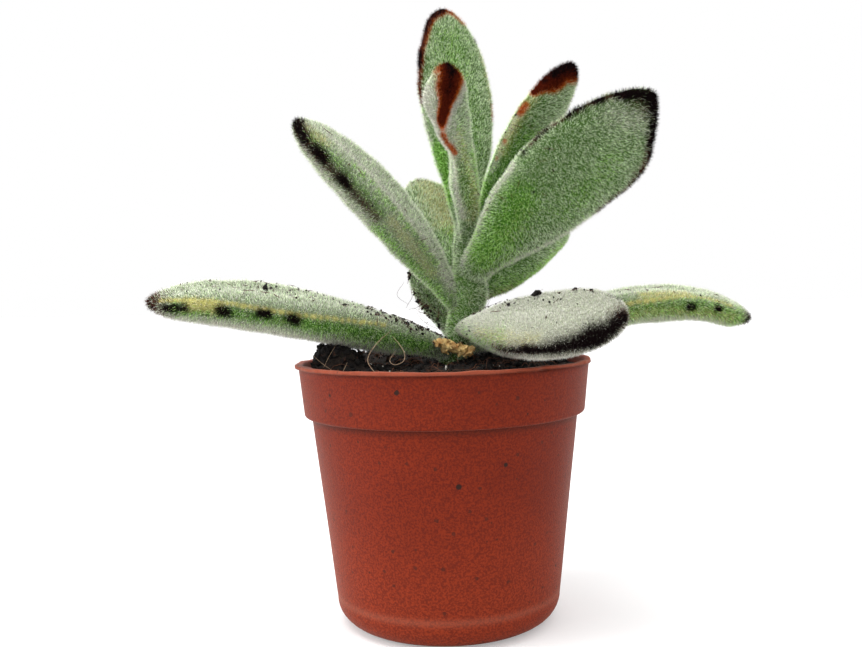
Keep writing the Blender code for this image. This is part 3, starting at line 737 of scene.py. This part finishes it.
def leafSurface(leaf, share, degrees):
    # a point for each share and angle: the middle line, plus half the width times the angle's cosine
    # to the side, plus the thickness times its sine upwards, hollowed along the upper face's middle
    along, side, up = leafDirections(leaf, share)
    shape = leafShape
    wide = leafSwell(share, leaf["rootWide"] / leaf["width"], shape["widestAt"], shape["flare"], 2.0)
    deep = leafSwell(share, leaf["rootThick"] / leaf["thick"], shape["thickestAt"], shape["swell"],
                     shape["tipFullness"])
    inset = np.minimum(shape["inset"], 0.4 * leaf["width"] * wide)
    across, high = np.cos(np.radians(degrees)), np.sin(np.radians(degrees))
    above = high > 0
    lift = np.where(above, high * shape["upperShare"], high * (1 - shape["upperShare"]))
    lift = lift - np.where(above, shape["channel"] * wide * (1 - across ** 2) ** 2, 0)
    halfWidth = leaf["width"] * wide / 2 - inset
    thickness = np.maximum(leaf["thick"] * deep - 2 * inset, 0.05)
    return (leafCentres(leaf, share) + side * (across * halfWidth)[:, None]
            + up * (lift * thickness)[:, None])


def leafGrid(leaf, seed):
    # rows crowd towards the tip; each bulge or hollow is a bell curve in share and angle, and low
    # waves run over the whole blade
    shape = leafShape
    share = np.sin(math.pi / 2 * (np.arange(shape["rows"]) + 0.5) / (shape["rows"] + 0.2))
    degrees = 360 * np.arange(shape["columns"]) / shape["columns"]
    allShare, allDegrees = np.meshgrid(share, degrees, indexing="ij")
    grid = leafSurface(leaf, allShare.ravel(), allDegrees.ravel()).reshape(*allShare.shape, 3)
    outward = outwardOf(grid)
    for atShare, atDegrees, long, wide, height in leaf.get("bulges", []):
        turned = (allDegrees - atDegrees + 180) % 360 - 180
        swell = np.exp(-((allShare - atShare) / long) ** 2 - (turned / wide) ** 2)
        grid = grid + outward * (height * swell)[..., None]
    body = np.minimum(1, (1 - allShare) * 12)
    rough = sum(height * waves(grid, size, seed + more) for height, size, more in shape["waves"])
    return grid + outward * (rough * body)[..., None], allShare, allDegrees


def markCurves(leaf, grid, rowShare):
    # each stroke's knots joined by evenly spaced points on the leaf's skin
    curves = {}
    for kind in markKinds:
        curves[kind] = []
        for width, strength, knots in leaf.get(kind, []):
            knots = np.array(knots, float)
            knots[:, 1] = np.unwrap(knots[:, 1], period=360)
            steps = 1 if len(knots) == 1 else 8 * (len(knots) - 1) + 1
            places = np.linspace(0, len(knots) - 1, steps)
            share = np.interp(places, np.arange(len(knots)), knots[:, 0])
            degrees = np.interp(places, np.arange(len(knots)), knots[:, 1])
            ends = width if isinstance(width, tuple) else (width, width)
            curves[kind].append((ends, strength, grid[cellsAt(grid, rowShare, share, degrees)]))
    return curves


def leafHoar(leaf, degrees):
    # how silvery the hairs are, from the upper face's value to the lower face's
    blend = 0.5 + 0.5 * np.sin(np.radians(degrees))
    return leaf["hoar"][1] + (leaf["hoar"][0] - leaf["hoar"][1]) * blend


def skinPiece(name, grid, marks):
    # a closed felt skin with each mark stored on its points, averaged at the two poles
    points, faces = closedSkin(grid, grid[0].mean(0), grid[-1].mean(0))
    stored = {kind + "Mark": np.append(value.ravel(), [value[0].mean(), value[-1].mean()])
              for kind, value in marks.items()}
    return newPiece(name, points, faces, feltSkin, stored)


leafSkins = {}
for number, (name, leaf) in enumerate(leaves.items()):
    grid, share, degrees = leafGrid(leaf, leafShape["firstSeed"] + number)
    outward = outwardOf(grid)
    curves = markCurves(leaf, grid, share[:, 0])
    marks = strokeMarks(grid, curves)
    hoar = leafHoar(leaf, degrees)
    marks["pale"] = 1 - (1 - marks["pale"]) * (1 - hoar)
    skin = skinPiece(name + "_leaf", grid, marks)
    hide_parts("leaf_" + name)
    fur = dict(leafFur, **leaf.get("fur", {}))
    seed = leafFur["firstSeed"] + number
    hairs = furPiece(name + "_leaf_felt", grid, outward, curves, hoar, fur, seed)
    leafSkins[name] = (grid, outward, share[:, 0])
    print("leaf", name, len(skin.data.polygons), "faces,", len(hairs.data.polygons) // 4, "hairs")

stemMarks = dict.fromkeys(markKinds, ())           # strokes as points in mm, not shares and angles
stemMarks["green"] = [(5.0, 0.55, [(0, 0, soilCrown + 10), (0, 0, soilCrown + 14)])]
stemMarks["lime"] = [(3.0, 0.12, [(5, -3, soilCrown + 12)])]
stemMarks = {kind: [((width, width), strength, np.array(line, float))
                    for width, strength, line in lines] for kind, lines in stemMarks.items()}
grid = stemGrid()
stemSkin = skinPiece("stem_skin", grid, strokeMarks(grid, stemMarks))
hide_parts("stem")
above = grid[grid[:, 0, 2] > soilCrown - 0.5]
stemHoar = np.full(above.shape[:2], 0.2)
stemHairs = furPiece("stem_felt_hairs", above, outwardOf(above), stemMarks, stemHoar,
                     dict(leafFur, lean=(5, 50), comb=0.2), stem["furSeed"])
print("stem ready")


pot = dict(lipRadius=27.5, lipThick=0.6, collarTop=26.8, collarFoot=25.9, collarHeight=9.6,
           bodyTop=24.5, heel=20.7, heelRound=4.4, stepRound=0.6, wall=0.8, ringOuter=14.0,
           ringInner=8.0, ringDepth=0.9, ringSlope=0.7, drainRadius=1.9, drains=6, drainSides=48,
           columns=288, flash=0.16, dent=0.10, lipIn=0.22, spacing=1.1, sharp=50)


def arcPoints(middle, radius, first, last, steps):
    # points on an arc round the middle, from the first angle to the last in degrees
    angle = np.radians(np.linspace(first, last, steps))
    return np.stack([middle[0] + radius * np.cos(angle), middle[1] + radius * np.sin(angle)], -1)


def evenLine(points, spacing):
    # the same path with more points, no further apart than the spacing
    points = np.asarray(points, float)
    found = [points[:1]]
    for start, end in zip(points, points[1:]):
        steps = max(1, math.ceil(np.linalg.norm(end - start) / spacing))
        found.append(start + (end - start) * (np.arange(1, steps + 1) / steps)[:, None])
    return np.concatenate(found)


def potProfile():
    # radius and height from the middle of the base, up the outside, over the lip and down the inside
    p = pot
    foot = potTop - p["collarHeight"]
    low = potTop - p["lipThick"]
    base = p["heel"] - p["heelRound"]
    outside = [[(p["ringInner"] - 0.05, 0), (p["ringInner"] + p["ringSlope"], p["ringDepth"]),
                (p["ringOuter"] - p["ringSlope"], p["ringDepth"]), (p["ringOuter"], 0)],
               arcPoints((base, p["heelRound"]), p["heelRound"], -90, 0, 12),
               [(p["bodyTop"], foot - p["stepRound"]), (p["bodyTop"] + 0.25, foot - 0.1)],
               arcPoints((p["collarFoot"] - p["stepRound"], foot + p["stepRound"]), p["stepRound"],
                         -90, 0, 8),
               [(p["collarTop"] - 0.02, low - 0.25), (p["collarTop"] + 0.05, low - 0.05)],
               arcPoints((p["lipRadius"] - 0.15, low + 0.15), 0.15, -90, 0, 4),
               arcPoints((p["lipRadius"] - 0.2, potTop - 0.2), 0.2, 0, 90, 5)]
    wall, inner = p["wall"], p["heel"] - p["wall"]
    inside = [arcPoints((p["collarTop"] - wall + 0.3, potTop - 0.3), 0.3, 90, 180, 5),
              [(p["collarFoot"] - wall, foot + wall),
               (p["bodyTop"] - wall, foot - p["stepRound"] + wall)],
              arcPoints((inner - p["heelRound"] + wall, p["heelRound"]), p["heelRound"] - wall,
                        0, -90, 8),
              [(p["ringOuter"] + wall, wall),
               (p["ringOuter"] + wall - p["ringSlope"], wall + p["ringDepth"]),
               (p["ringInner"] - wall + p["ringSlope"], wall + p["ringDepth"]),
               (p["ringInner"] - wall, wall)]]
    return evenLine(np.concatenate(outside + inside), p["spacing"])


def potGrid():
    # the profile turned about Z; slow waves and a few nicks for moulding flash at the lip, and a
    # faint sway over the body
    profile = potProfile()
    angle = fullTurn(pot["columns"])
    spoke = spokes(angle)
    ring = spoke * pot["lipRadius"]
    wobble = pot["flash"] * waves(ring, 9, 3) + pot["dent"] * waves(ring, 2.5, 4)
    wobble = wobble - pot["lipIn"] - pot["lipIn"] * np.cos(angle)     # stands out least at the right
    nick = -0.35 * np.exp(-((waves(ring, 14, 8, 3) - 1.15) / 0.1) ** 2)
    atLip = np.clip((profile[:, 1] - (potTop - 0.75)) / 0.3, 0, 1)
    atLip = atLip * (profile[:, 0] > pot["collarTop"])
    grid = spoke[None] * profile[:, :1, None] + np.array([0, 0, 1]) * profile[:, 1:, None]
    grid = grid + spoke[None] * (atLip[:, None] * (wobble + nick))[..., None]
    rise = 0.08 * waves(ring, 6, 6) * (profile[:, 1] > potTop - 0.35)[:, None]
    grid[..., 2] += rise
    body = (profile[:, 1] > 2) & (profile[:, 1] < potTop - 1)
    sway = spoke[None] * (0.05 * waves(grid, 30, 12) * body[:, None])[..., None]
    return grid + sway, np.broadcast_to(atLip[:, None], grid.shape[:2])


# colours, and heights in metres as materials read them; a painted shade band is (from, to,
# how dark), one under the step and one under the lip, where shadow falls on the wall
potFinish = dict(rough=0.62, shine=0.11, sheen=0.16, sheenRough=0.35, sheenTint=(1.0, 0.62, 0.48),
                 darker=(0.186, 0.0190, 0.0044), lighter=(0.222, 0.0240, 0.0062),
                 foot=(0.330, 0.0420, 0.0120), bounceLightFrom=0.030, bounceLightTo=0.003, bounceLightShare=0.55,
                 pore=(0.075, 0.007, 0.004), poreShare=0.62, lipHighlight=(0.40, 0.11, 0.06), lipHighlightShare=0.45,
                 paintedShade=(0.030, 0.006, 0.003),
                 paintedShadeBands=((0.0363, 0.0379, 0.55), (0.0462, 0.0470, 0.4)), paintedShadeFade=0.0003,
                 scuff=(0.50, 0.20, 0.13), scuffHeight=0.0052, scuffSharp=1400.0, scuffShare=0.16,
                 speck=(0.030, 0.012, 0.008), fineSpeck=(0.060, 0.014, 0.008), fineShare=0.7,
                 glossFrom=0.5, glossMore=0.16, bump=(0.55, 0.00012))

potPlastic, tree, surface = newMaterial(
    "pot plastic", potFinish["rough"], potFinish["shine"], Sheen_Weight=potFinish["sheen"],
    Sheen_Roughness=potFinish["sheenRough"], Sheen_Tint=colour(*potFinish["sheenTint"]))
tone = useGroup(tree, grain, Scale=2900.0, Broad_Scale=55.0)
dirt = useGroup(tree, specks, Scale=520.0, Share=0.035, Size=0.34)
fineDirt = useGroup(tree, specks, Scale=1100.0, Share=0.06, Size=0.5)
height = addNode(tree, "SeparateXYZ", {0: objectPlace(tree)}).outputs["Z"]
lipHighlight = addNode(tree, "Attribute", attribute_name="lipEdge").outputs["Fac"]


def layPot(found, mask, share, name):
    # one of the finish's colours laid over what is there, as strongly as the mask times the share
    return mixColours(tree, maths(tree, "MULTIPLY", mask, share), found, colour(*potFinish[name]))


found = mixColours(tree, ramp(tree, tone["Broad"], 0.3, 0.7), colour(*potFinish["darker"]),
                   colour(*potFinish["lighter"]))
low = ramp(tree, height, potFinish["bounceLightFrom"], potFinish["bounceLightTo"])     # painted bounce light: lighter low down, where the floor lights the wall
found = layPot(found, low, potFinish["bounceLightShare"], "foot")
pores = mixColours(tree, potFinish["poreShare"], found, colour(*potFinish["pore"]))
found = mixColours(tree, ramp(tree, tone["Fine"], 0.40, 0.60), pores, found)
# painted highlight: a lighter colour on the lip's rim, where it catches the light
found = layPot(found, lipHighlight, potFinish["lipHighlightShare"], "lipHighlight")
# painted shade: darker bands under the collar step and under the lip, where shadow falls
for low, high, depth in potFinish["paintedShadeBands"]:
    fade = ramp(tree, height, high + potFinish["paintedShadeFade"], high)
    shadeBand = maths(tree, "MULTIPLY", ramp(tree, height, low, high), fade)
    found = layPot(found, shadeBand, depth, "paintedShade")
ring = maths(tree, "SUBTRACT", height, potFinish["scuffHeight"])          # a bell curve in height
ring = maths(tree, "MULTIPLY", ring, potFinish["scuffSharp"])
ring = maths(tree, "MULTIPLY", maths(tree, "MULTIPLY", ring, ring), -1.0)
found = layPot(found, maths(tree, "POWER", math.e, ring), potFinish["scuffShare"], "scuff")
found = layPot(found, dirt["Mask"], 1.0, "speck")
found = layPot(found, fineDirt["Mask"], potFinish["fineShare"], "fineSpeck")
tree.links.new(found, surface["Base Color"])
gloss = maths(tree, "MULTIPLY", tone["Broad"], potFinish["glossMore"])
tree.links.new(maths(tree, "ADD", gloss, potFinish["glossFrom"]), surface["Roughness"])
bump(tree, surface, tone["Fine"], *potFinish["bump"])

grid, lipEdge = potGrid()
points, faces = closedSkin(grid, (0, 0, 0), (0, 0, pot["wall"]))
potShell = newPiece("pot_shell", points, faces, potPlastic,
                    {"lipEdge": np.append(lipEdge.ravel(), [0, 0])})
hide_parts("pot")


def cutDrains(piece):
    # straight bores through the raised ring of the base
    middle = (pot["ringInner"] + pot["ringOuter"]) / 2
    below, above = (0, 0, -2), (0, 0, 4)
    for number in range(pot["drains"]):
        around = turn * number / pot["drains"]
        centre = np.array([math.cos(around), math.sin(around), 0]) * middle
        disc = spokes(fullTurn(pot["drainSides"])) * pot["drainRadius"] + centre
        grid = np.stack([disc + below, disc + above])
        points, faces = closedSkin(grid, centre + below, centre + above)
        bit = newPiece(f"drain_bit_{number}", points, faces, potPlastic)
        cut = piece.modifiers.new("drain", "BOOLEAN")
        cut.operation, cut.solver, cut.object = "DIFFERENCE", "EXACT", bit
        bpy.context.view_layer.update()
        cutPiece = piece.evaluated_get(bpy.context.evaluated_depsgraph_get())
        shape = bpy.data.meshes.new_from_object(cutPiece)
        piece.modifiers.clear()
        piece.data = shape
        bpy.data.objects.remove(bit)


cutDrains(potShell)
potShell.data.set_sharp_from_angle(angle=math.radians(pot["sharp"]))
print("pot ready", len(potShell.data.polygons), "faces")


soil = dict(radius=24.75, rings=90, columns=260, lumps=0.55, grit=0.22, clodAt=(-19.8, -8.5),
            clodSize=(6.0, 4.4), clodRise=4.7, bank=2.6,
            wall=((18.6, 6.0), (22.8, 36.5)))      # radius and height of the fill against the pot

peat, tree, surface, tone, found = grainyMaterial("peat", dict(
    rough=0.9, shine=0.25, fine=1500.0, broad=260.0, between=(0.35, 0.7),
    darker=(0.0045, 0.0037, 0.0034), lighter=(0.016, 0.0095, 0.0062), bump=(0.9, 0.0004)))
flecks = useGroup(tree, specks, Scale=700.0, Share=0.10, Size=0.5)
tree.links.new(mixColours(tree, flecks["Mask"], found, colour(0.075, 0.032, 0.016)),
               surface["Base Color"])


def soilHeight(x, y):
    # a low dome with lumps of several sizes, banked up at the back, and one clod by the left edge
    place = np.stack([x, y, 0 * x], -1)
    share = np.hypot(x, y) / soil["radius"]
    dome = soilEdge + soilRise * (1 - share ** 2)
    lumps = soil["lumps"] * waves(place, 6.5, 31) + soil["grit"] * waves(place, 1.9, 32)
    lumps = lumps + 0.5 * soil["grit"] * waves(place, 0.9, 33)
    away = ((x - soil["clodAt"][0]) / soil["clodSize"][0]) ** 2
    away = away + ((y - soil["clodAt"][1]) / soil["clodSize"][1]) ** 2
    clod = soil["clodRise"] * np.exp(-away ** 2) * (1 + 0.18 * waves(place, 2.4, 34))
    clod = clod * np.clip((soil["radius"] - np.hypot(x, y)) / 1.6, 0.05, 1) ** 0.5
    banked = soil["bank"] * np.clip((y + 2) / 16, 0, 1) ** 1.5
    return dome + lumps * 0.7 + clod + banked - 0.5


def soilGrid():
    # rings from the bottom of the fill, up the pot's inner wall and in over the top to the middle
    angle = fullTurn(soil["columns"])
    radii = soil["radius"] * np.sqrt(np.linspace(1, 0.0004, soil["rings"]))
    x, y = radii[:, None] * np.cos(angle), radii[:, None] * np.sin(angle)
    top = np.stack([x, y, soilHeight(x, y)], -1)
    low = np.array(soil["wall"])
    wall = np.stack([low[:, :1] * np.cos(angle), low[:, :1] * np.sin(angle),
                     low[:, 1:] + 0 * angle], -1)
    return np.concatenate([wall, top])


grid = soilGrid()
points, faces = closedSkin(grid, (0, 0, soil["wall"][0][1]), grid[-1].mean(0))
soilBed = newPiece("soil_bed", points, faces, peat)
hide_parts("soil")


# crumbs, fibres and grit
golden = (1 + math.sqrt(5)) / 2
crumbPoints = unit(np.array([(a, b, 0) for a in (-1, 1) for b in (-golden, golden)]
                            + [(0, a, b) for a in (-1, 1) for b in (-golden, golden)]
                            + [(b, 0, a) for a in (-1, 1) for b in (-golden, golden)], float))


def crumbFaces():
    # the twenty triangles of an icosahedron: every three points that are all one edge apart
    gaps = np.linalg.norm(crumbPoints[:, None] - crumbPoints[None], axis=-1)
    near = (gaps > 0.1) & (gaps < 1.1)
    found = []
    for a in range(12):
        for b in range(a + 1, 12):
            for c in range(b + 1, 12):
                if near[a, b] and near[b, c] and near[a, c]:
                    one, two, three = crumbPoints[[a, b, c]]
                    out = np.cross(two - one, three - one) @ (one + two + three)
                    found.append((a, b, c) if out > 0 else (a, c, b))
    return np.array(found)


crumbShape = crumbFaces()


def crumbs(name, centres, sizes, material, seed, stretch=(0.5, 1.6)):
    # lumps made from one twenty-faced shape: points pushed in and out, stretched and turned at random
    draw = np.random.default_rng(seed)
    count = len(centres)
    shape = crumbPoints[None] * draw.uniform(0.45, 1.35, (count, 12, 1))
    shape = shape * draw.uniform(*stretch, (count, 1, 3))
    first = unit(draw.normal(size=(count, 3)))
    second = unit(np.cross(first, draw.normal(size=(count, 3))))
    frameOf = np.stack([first, second, np.cross(first, second)], 1)
    shape = np.einsum("nij,njk->nik", shape, frameOf) * np.asarray(sizes)[:, None, None] / 2
    points = (shape + centres[:, None]).reshape(-1, 3)
    faces = (np.arange(count)[:, None, None] * 12 + crumbShape).reshape(-1, 3)
    return newPiece(name, points, [faces], material, smooth=False)


def strands(name, paths, radii, material, sides=5):
    # thin round fibres: a ring of points carried along each path, tapering to both ends
    allPoints, quads, fans, first = [], [], [], 0
    angle = fullTurn(sides)
    for line, radius in zip(paths, radii):
        run = unit(np.gradient(line, axis=0))
        across = unit(np.cross(run, [0.31, 0.52, 0.79]))
        up = np.cross(run, across)
        taper = radius * (0.35 + 0.65 * np.sin(math.pi * np.linspace(0.06, 0.94, len(line))))
        ring = across[:, None] * np.cos(angle)[:, None] + up[:, None] * np.sin(angle)[:, None]
        grid = line[:, None] + ring * taper[:, None, None]
        points, (body, caps) = closedSkin(grid, line[0], line[-1])
        allPoints.append(points)
        quads.append(body + first)
        fans.append(caps + first)
        first += len(points)
    return newPiece(name, np.concatenate(allPoints), [np.concatenate(quads), np.concatenate(fans)],
                    material)


peatCrumb = grainyMaterial("peat crumb", dict(
    rough=0.85, shine=0.25, fine=1800.0, broad=700.0, between=(0.52, 0.80),
    darker=(0.0050, 0.0040, 0.0036), lighter=(0.080, 0.028, 0.012), bump=(0.6, 0.0002)))[0]
rootFibre = grainyMaterial("root fibre", dict(
    rough=0.6, shine=0.35, fine=2200.0, broad=500.0,
    darker=(0.22, 0.13, 0.075), lighter=(0.42, 0.30, 0.19), bump=(0.4, 0.0001)))[0]
peatFibre = grainyMaterial("peat fibre", dict(
    rough=0.75, shine=0.3, fine=2200.0, broad=600.0,
    darker=(0.035, 0.012, 0.007), lighter=(0.16, 0.060, 0.028), bump=(0.4, 0.0001)))[0]
perlite = grainyMaterial("perlite", dict(
    rough=0.8, shine=0.3, fine=1600.0, broad=400.0,
    darker=(0.42, 0.38, 0.32), lighter=(0.78, 0.76, 0.70), bump=(0.7, 0.0003)))[0]

litter = dict(crumbs=3600, size=(0.25, 1.15), clodCrumbs=900, fibres=150, fibreWidth=(0.03, 0.085),
              grit=16, gritSize=(0.35, 0.8), seed=7,
              frontGrit=((12.0, -20.4, 0.8), (15.6, -18.6, 0.9)))      # x, y and size of two grains

draw = np.random.default_rng(litter["seed"])
radius = (soil["radius"] - 0.5) * np.sqrt(draw.random(litter["crumbs"]))
angle = draw.uniform(0, turn, litter["crumbs"])
x, y = radius * np.cos(angle), radius * np.sin(angle)
sizes = litter["size"][0] + (litter["size"][1] - litter["size"][0]) * draw.random(len(x)) ** 2.5
centres = np.stack([x, y, soilHeight(x, y) + sizes * 0.12], -1)
spread = draw.normal(size=(litter["clodCrumbs"], 2)) * 0.42 * np.array(soil["clodSize"])
x, y = (np.array(soil["clodAt"]) + spread).T
keep = np.hypot(x, y) < soil["radius"] + 0.5
x, y = x[keep], y[keep]
more = 0.3 + 0.9 * draw.random(len(x)) ** 2
centres = np.concatenate([centres, np.stack([x, y, soilHeight(x, y) + more * 0.15], -1)])
soilCrumbs = crumbs("soil_crumbs", centres, np.concatenate([sizes, more]), peatCrumb, 8)

paths, radii = [], []
for number in range(litter["fibres"]):
    far = (soil["radius"] - 2.5) * math.sqrt(draw.random())
    facing, long = draw.uniform(0, turn, 2)
    start = np.array([math.cos(facing), math.sin(facing)]) * far
    along = np.linspace(0, draw.uniform(1.5, 6.0), 12)
    bend = draw.normal(0, 0.12)
    heading = long + bend * along
    flat = start + np.cumsum(np.stack([np.cos(heading), np.sin(heading)], -1), 0) * along[1]
    flat = flat * np.minimum(1, (soil["radius"] - 0.5) / np.maximum(np.hypot(*flat.T), 1e-6))[:, None]
    arch = draw.uniform(0.1, 0.9) * np.sin(math.pi * along / along[-1])
    paths.append(np.column_stack([flat, soilHeight(*flat.T) + 0.15 + arch]))
    radii.append(draw.uniform(*litter["fibreWidth"]))
soilFibres = strands("soil_fibres", paths, radii, peatFibre)

facing = draw.uniform(0, turn, litter["grit"])
far = (soil["radius"] - 1.5) * np.sqrt(draw.uniform(0.15, 1, litter["grit"]))
placed = np.array(litter["frontGrit"]).T
x = np.append(far * np.cos(facing), placed[0])
y = np.append(far * np.sin(facing), placed[1])
sizes = np.append(draw.uniform(*litter["gritSize"], litter["grit"]), placed[2])
grit = crumbs("perlite_grit", np.stack([x, y, soilHeight(x, y) + 0.35], -1), sizes, perlite, 9)
print("soil ready")


def splineThrough(knots, count=48):
    # a smooth path through the knots: Catmull-Rom, each span a cubic of its four neighbours
    knots = np.asarray(knots, float)
    padded = np.concatenate([[2 * knots[0] - knots[1]], knots, [2 * knots[-1] - knots[-2]]])
    place = np.linspace(0, len(knots) - 1 - 1e-6, count)
    span, t = np.floor(place).astype(int), (place % 1)[:, None]
    a, b, c, d = (padded[span + k] for k in range(4))
    return 0.5 * (2 * b + (c - a) * t + (2 * a - 5 * b + 4 * c - d) * t ** 2
                  + (3 * b - a - 3 * c + d) * t ** 3)


# loose pale roots at the soil's left side, and dark fibres by the stem: radius, then knots, in mm
looseRoots = [
    (0.055, [(-8.6, -18, 54.0), (-10.5, -19, 52.4), (-12.0, -20, 50.6), (-12.4, -21, 49.1),
             (-11.4, -22, 47.6), (-10.2, -22.5, 46.9)]),
    (0.055, [(-8.4, -18, 53.0), (-7.2, -19, 51.6), (-6.4, -20, 50.2), (-6.6, -21, 49.0),
             (-8.0, -21.5, 48.5), (-8.8, -21, 49.2), (-7.9, -20, 50.6)]),
    (0.030, [(-24.0, -9, 50.6), (-21.5, -13, 48.8), (-18.6, -16.5, 47.2)]),
    (0.028, [(-18.5, -12, 51.6), (-19.6, -14, 49.6), (-20.4, -15.5, 47.8)]),
    (0.030, [(-16.4, -15, 48.6), (-17.0, -17.5, 47.0)]),
    (0.022, [(-24.6, -8, 48.4), (-27.3, -8.6, 49.2), (-29.0, -9, 48.4), (-29.8, -9.2, 47.2)]),
    (0.020, [(-24.8, -6, 48.6), (-27.0, -7, 49.8), (-28.6, -8, 49.4)]),
    (0.022, [(-25.2, -5, 48.2), (-27.8, -6, 48.3), (-29.6, -7, 47.0)]),
]
darkRoots = [
    (0.035, [(3.6, -3.6, 57.6), (0.2, -5.4, 56.0), (-2.6, -5.8, 57.8), (-4.4, -5.4, 57.0)]),
    (0.030, [(2.8, -4.0, 54.5), (-0.6, -6.4, 53.6), (-3.4, -6.6, 55.0), (-4.6, -6.2, 56.6)]),
    (0.028, [(6.6, -4.0, 60.0), (8.4, -6.0, 58.4), (7.4, -7.0, 56.6)]),
    (0.030, [(-6.5, 2.0, 58.0), (-8.4, 0.6, 59.8), (-7.0, 0, 62.2)]),
]
darkWisps = dict(count=26, corner=(-9.0, -1.0, 50.5), spread=(12.0, 3.0, 9.0), slope=0.55,
                 step=(1.1, 0.5, 0.9), width=(0.018, 0.04), seed=17)


def rootPiece(name, roots, material, sides):
    # one strand along the smooth path through each root's knots
    paths = [splineThrough(knots) for width, knots in roots]
    return strands(name, paths, [width for width, knots in roots], material, sides)


draw = np.random.default_rng(darkWisps["seed"])
for number in range(darkWisps["count"]):
    start = np.array(darkWisps["corner"]) + draw.uniform(0, 1, 3) * darkWisps["spread"]
    start[2] -= darkWisps["slope"] * (start[0] - darkWisps["corner"][0])
    steps = draw.normal(size=(4, 3)) * darkWisps["step"]
    width = draw.uniform(*darkWisps["width"])
    darkRoots.append((width, [start, *(start + np.cumsum(steps, 0))]))
wisps = rootPiece("dark_wisps", darkRoots, peatFibre, 5)
roots = rootPiece("loose_roots", looseRoots, rootFibre, 8)
print("roots ready")


# litter on the leaves
draw = np.random.default_rng(11)
centres, sizes, chips = [], [], []
for name, (grid, outward, rowShare) in leafSkins.items():
    for low, high, first, last, count, size in leaves[name].get("litter", []):
        atShare, atDegrees = draw.uniform(low, high, count), draw.uniform(first, last, count)
        row, column = cellsAt(grid, rowShare, atShare, atDegrees)
        big = size * draw.uniform(0.3, 1.3, count)
        centres.append(grid[row, column] + outward[row, column] * (0.36 + 0.2 * big)[:, None])
        sizes.append(big)
        lie = unit(np.cross(outward[row, column], draw.normal(size=(count, 3))))
        for k in range(0, count, 4):                # every fourth crumb has a splinter beside it
            middle = centres[-1][k] + outward[row[k], column[k]] * 0.1
            reach = draw.uniform(0.4, 1.3) * lie[k]
            chips.append(np.linspace(middle - reach, middle + reach, 5))
leafCrumbs = crumbs("leaf_crumbs", np.concatenate(centres), np.concatenate(sizes), peatCrumb, 12,
                    stretch=(0.35, 1.5))
splinters = strands("leaf_splinters", chips, draw.uniform(0.03, 0.07, len(chips)), peatFibre)
print("litter ready", sum(map(len, centres)), "crumbs")


# bark at the foot of the stem
bark = dict(rows=60, columns=96, half=(2.7, 0.9, 0.8), lift=(-0.9, -0.4, 1.1), tilt=20.0,
            flakes=150, scatter=0.28, flakeSize=(0.4, 1.3), seed=14)

cork, tree, surface, tone, found = grainyMaterial("cork bark", dict(
    rough=0.8, shine=0.3, fine=1500.0, broad=420.0, between=(0.35, 0.65),
    darker=(0.34, 0.17, 0.050), lighter=(0.86, 0.64, 0.27), bump=(0.9, 0.0004)))
found = mixColours(tree, ramp(tree, tone["Fine"], 0.55, 0.75), found, colour(0.86, 0.72, 0.40))
pits = useGroup(tree, specks, Scale=900.0, Share=0.35, Size=0.7)
found = mixColours(tree, pits["Mask"], found, colour(0.05, 0.022, 0.012))
tree.links.new(found, surface["Base Color"])

low, high = (np.array(corner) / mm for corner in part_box("bark_flake"))
middle = (low + high) / 2


def barkCore():
    # an egg by the flake's middle, tipped about Y, its skin broken by sharp short waves
    down = math.pi * (np.arange(bark["rows"]) + 0.5) / bark["rows"]
    around = fullTurn(bark["columns"])
    ball = np.stack([-np.cos(down)[:, None] + 0 * around, np.sin(down)[:, None] * np.cos(around),
                     np.sin(down)[:, None] * np.sin(around)], -1)
    rough = 1 + 0.10 * waves(ball, 0.9, 41) + 0.09 * np.abs(waves(ball, 0.35, 42))
    egg = ball * rough[..., None] * np.array(bark["half"])
    tilt = math.radians(bark["tilt"])
    x = egg[..., 0] * math.cos(tilt) + egg[..., 2] * math.sin(tilt)
    z = -egg[..., 0] * math.sin(tilt) + egg[..., 2] * math.cos(tilt)
    return np.stack([x, egg[..., 1], z], -1) + middle + np.array(bark["lift"])


grid = barkCore()
points, faces = closedSkin(grid, grid[0].mean(0), grid[-1].mean(0))
barkCorePiece = newPiece("bark_core", points, faces, cork)
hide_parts("bark_flake")
draw = np.random.default_rng(bark["seed"])
row = draw.integers(2, bark["rows"] - 2, bark["flakes"])
column = draw.integers(0, bark["columns"], bark["flakes"])
spots = grid[row, column] + draw.normal(0, bark["scatter"], (bark["flakes"], 3))
sizes = bark["flakeSize"][0] + bark["flakeSize"][1] * draw.random(bark["flakes"]) ** 2
barkBits = crumbs("bark_flakes", spots, sizes, cork, bark["seed"] + 1, stretch=(0.25, 1.2))
print("bark ready")
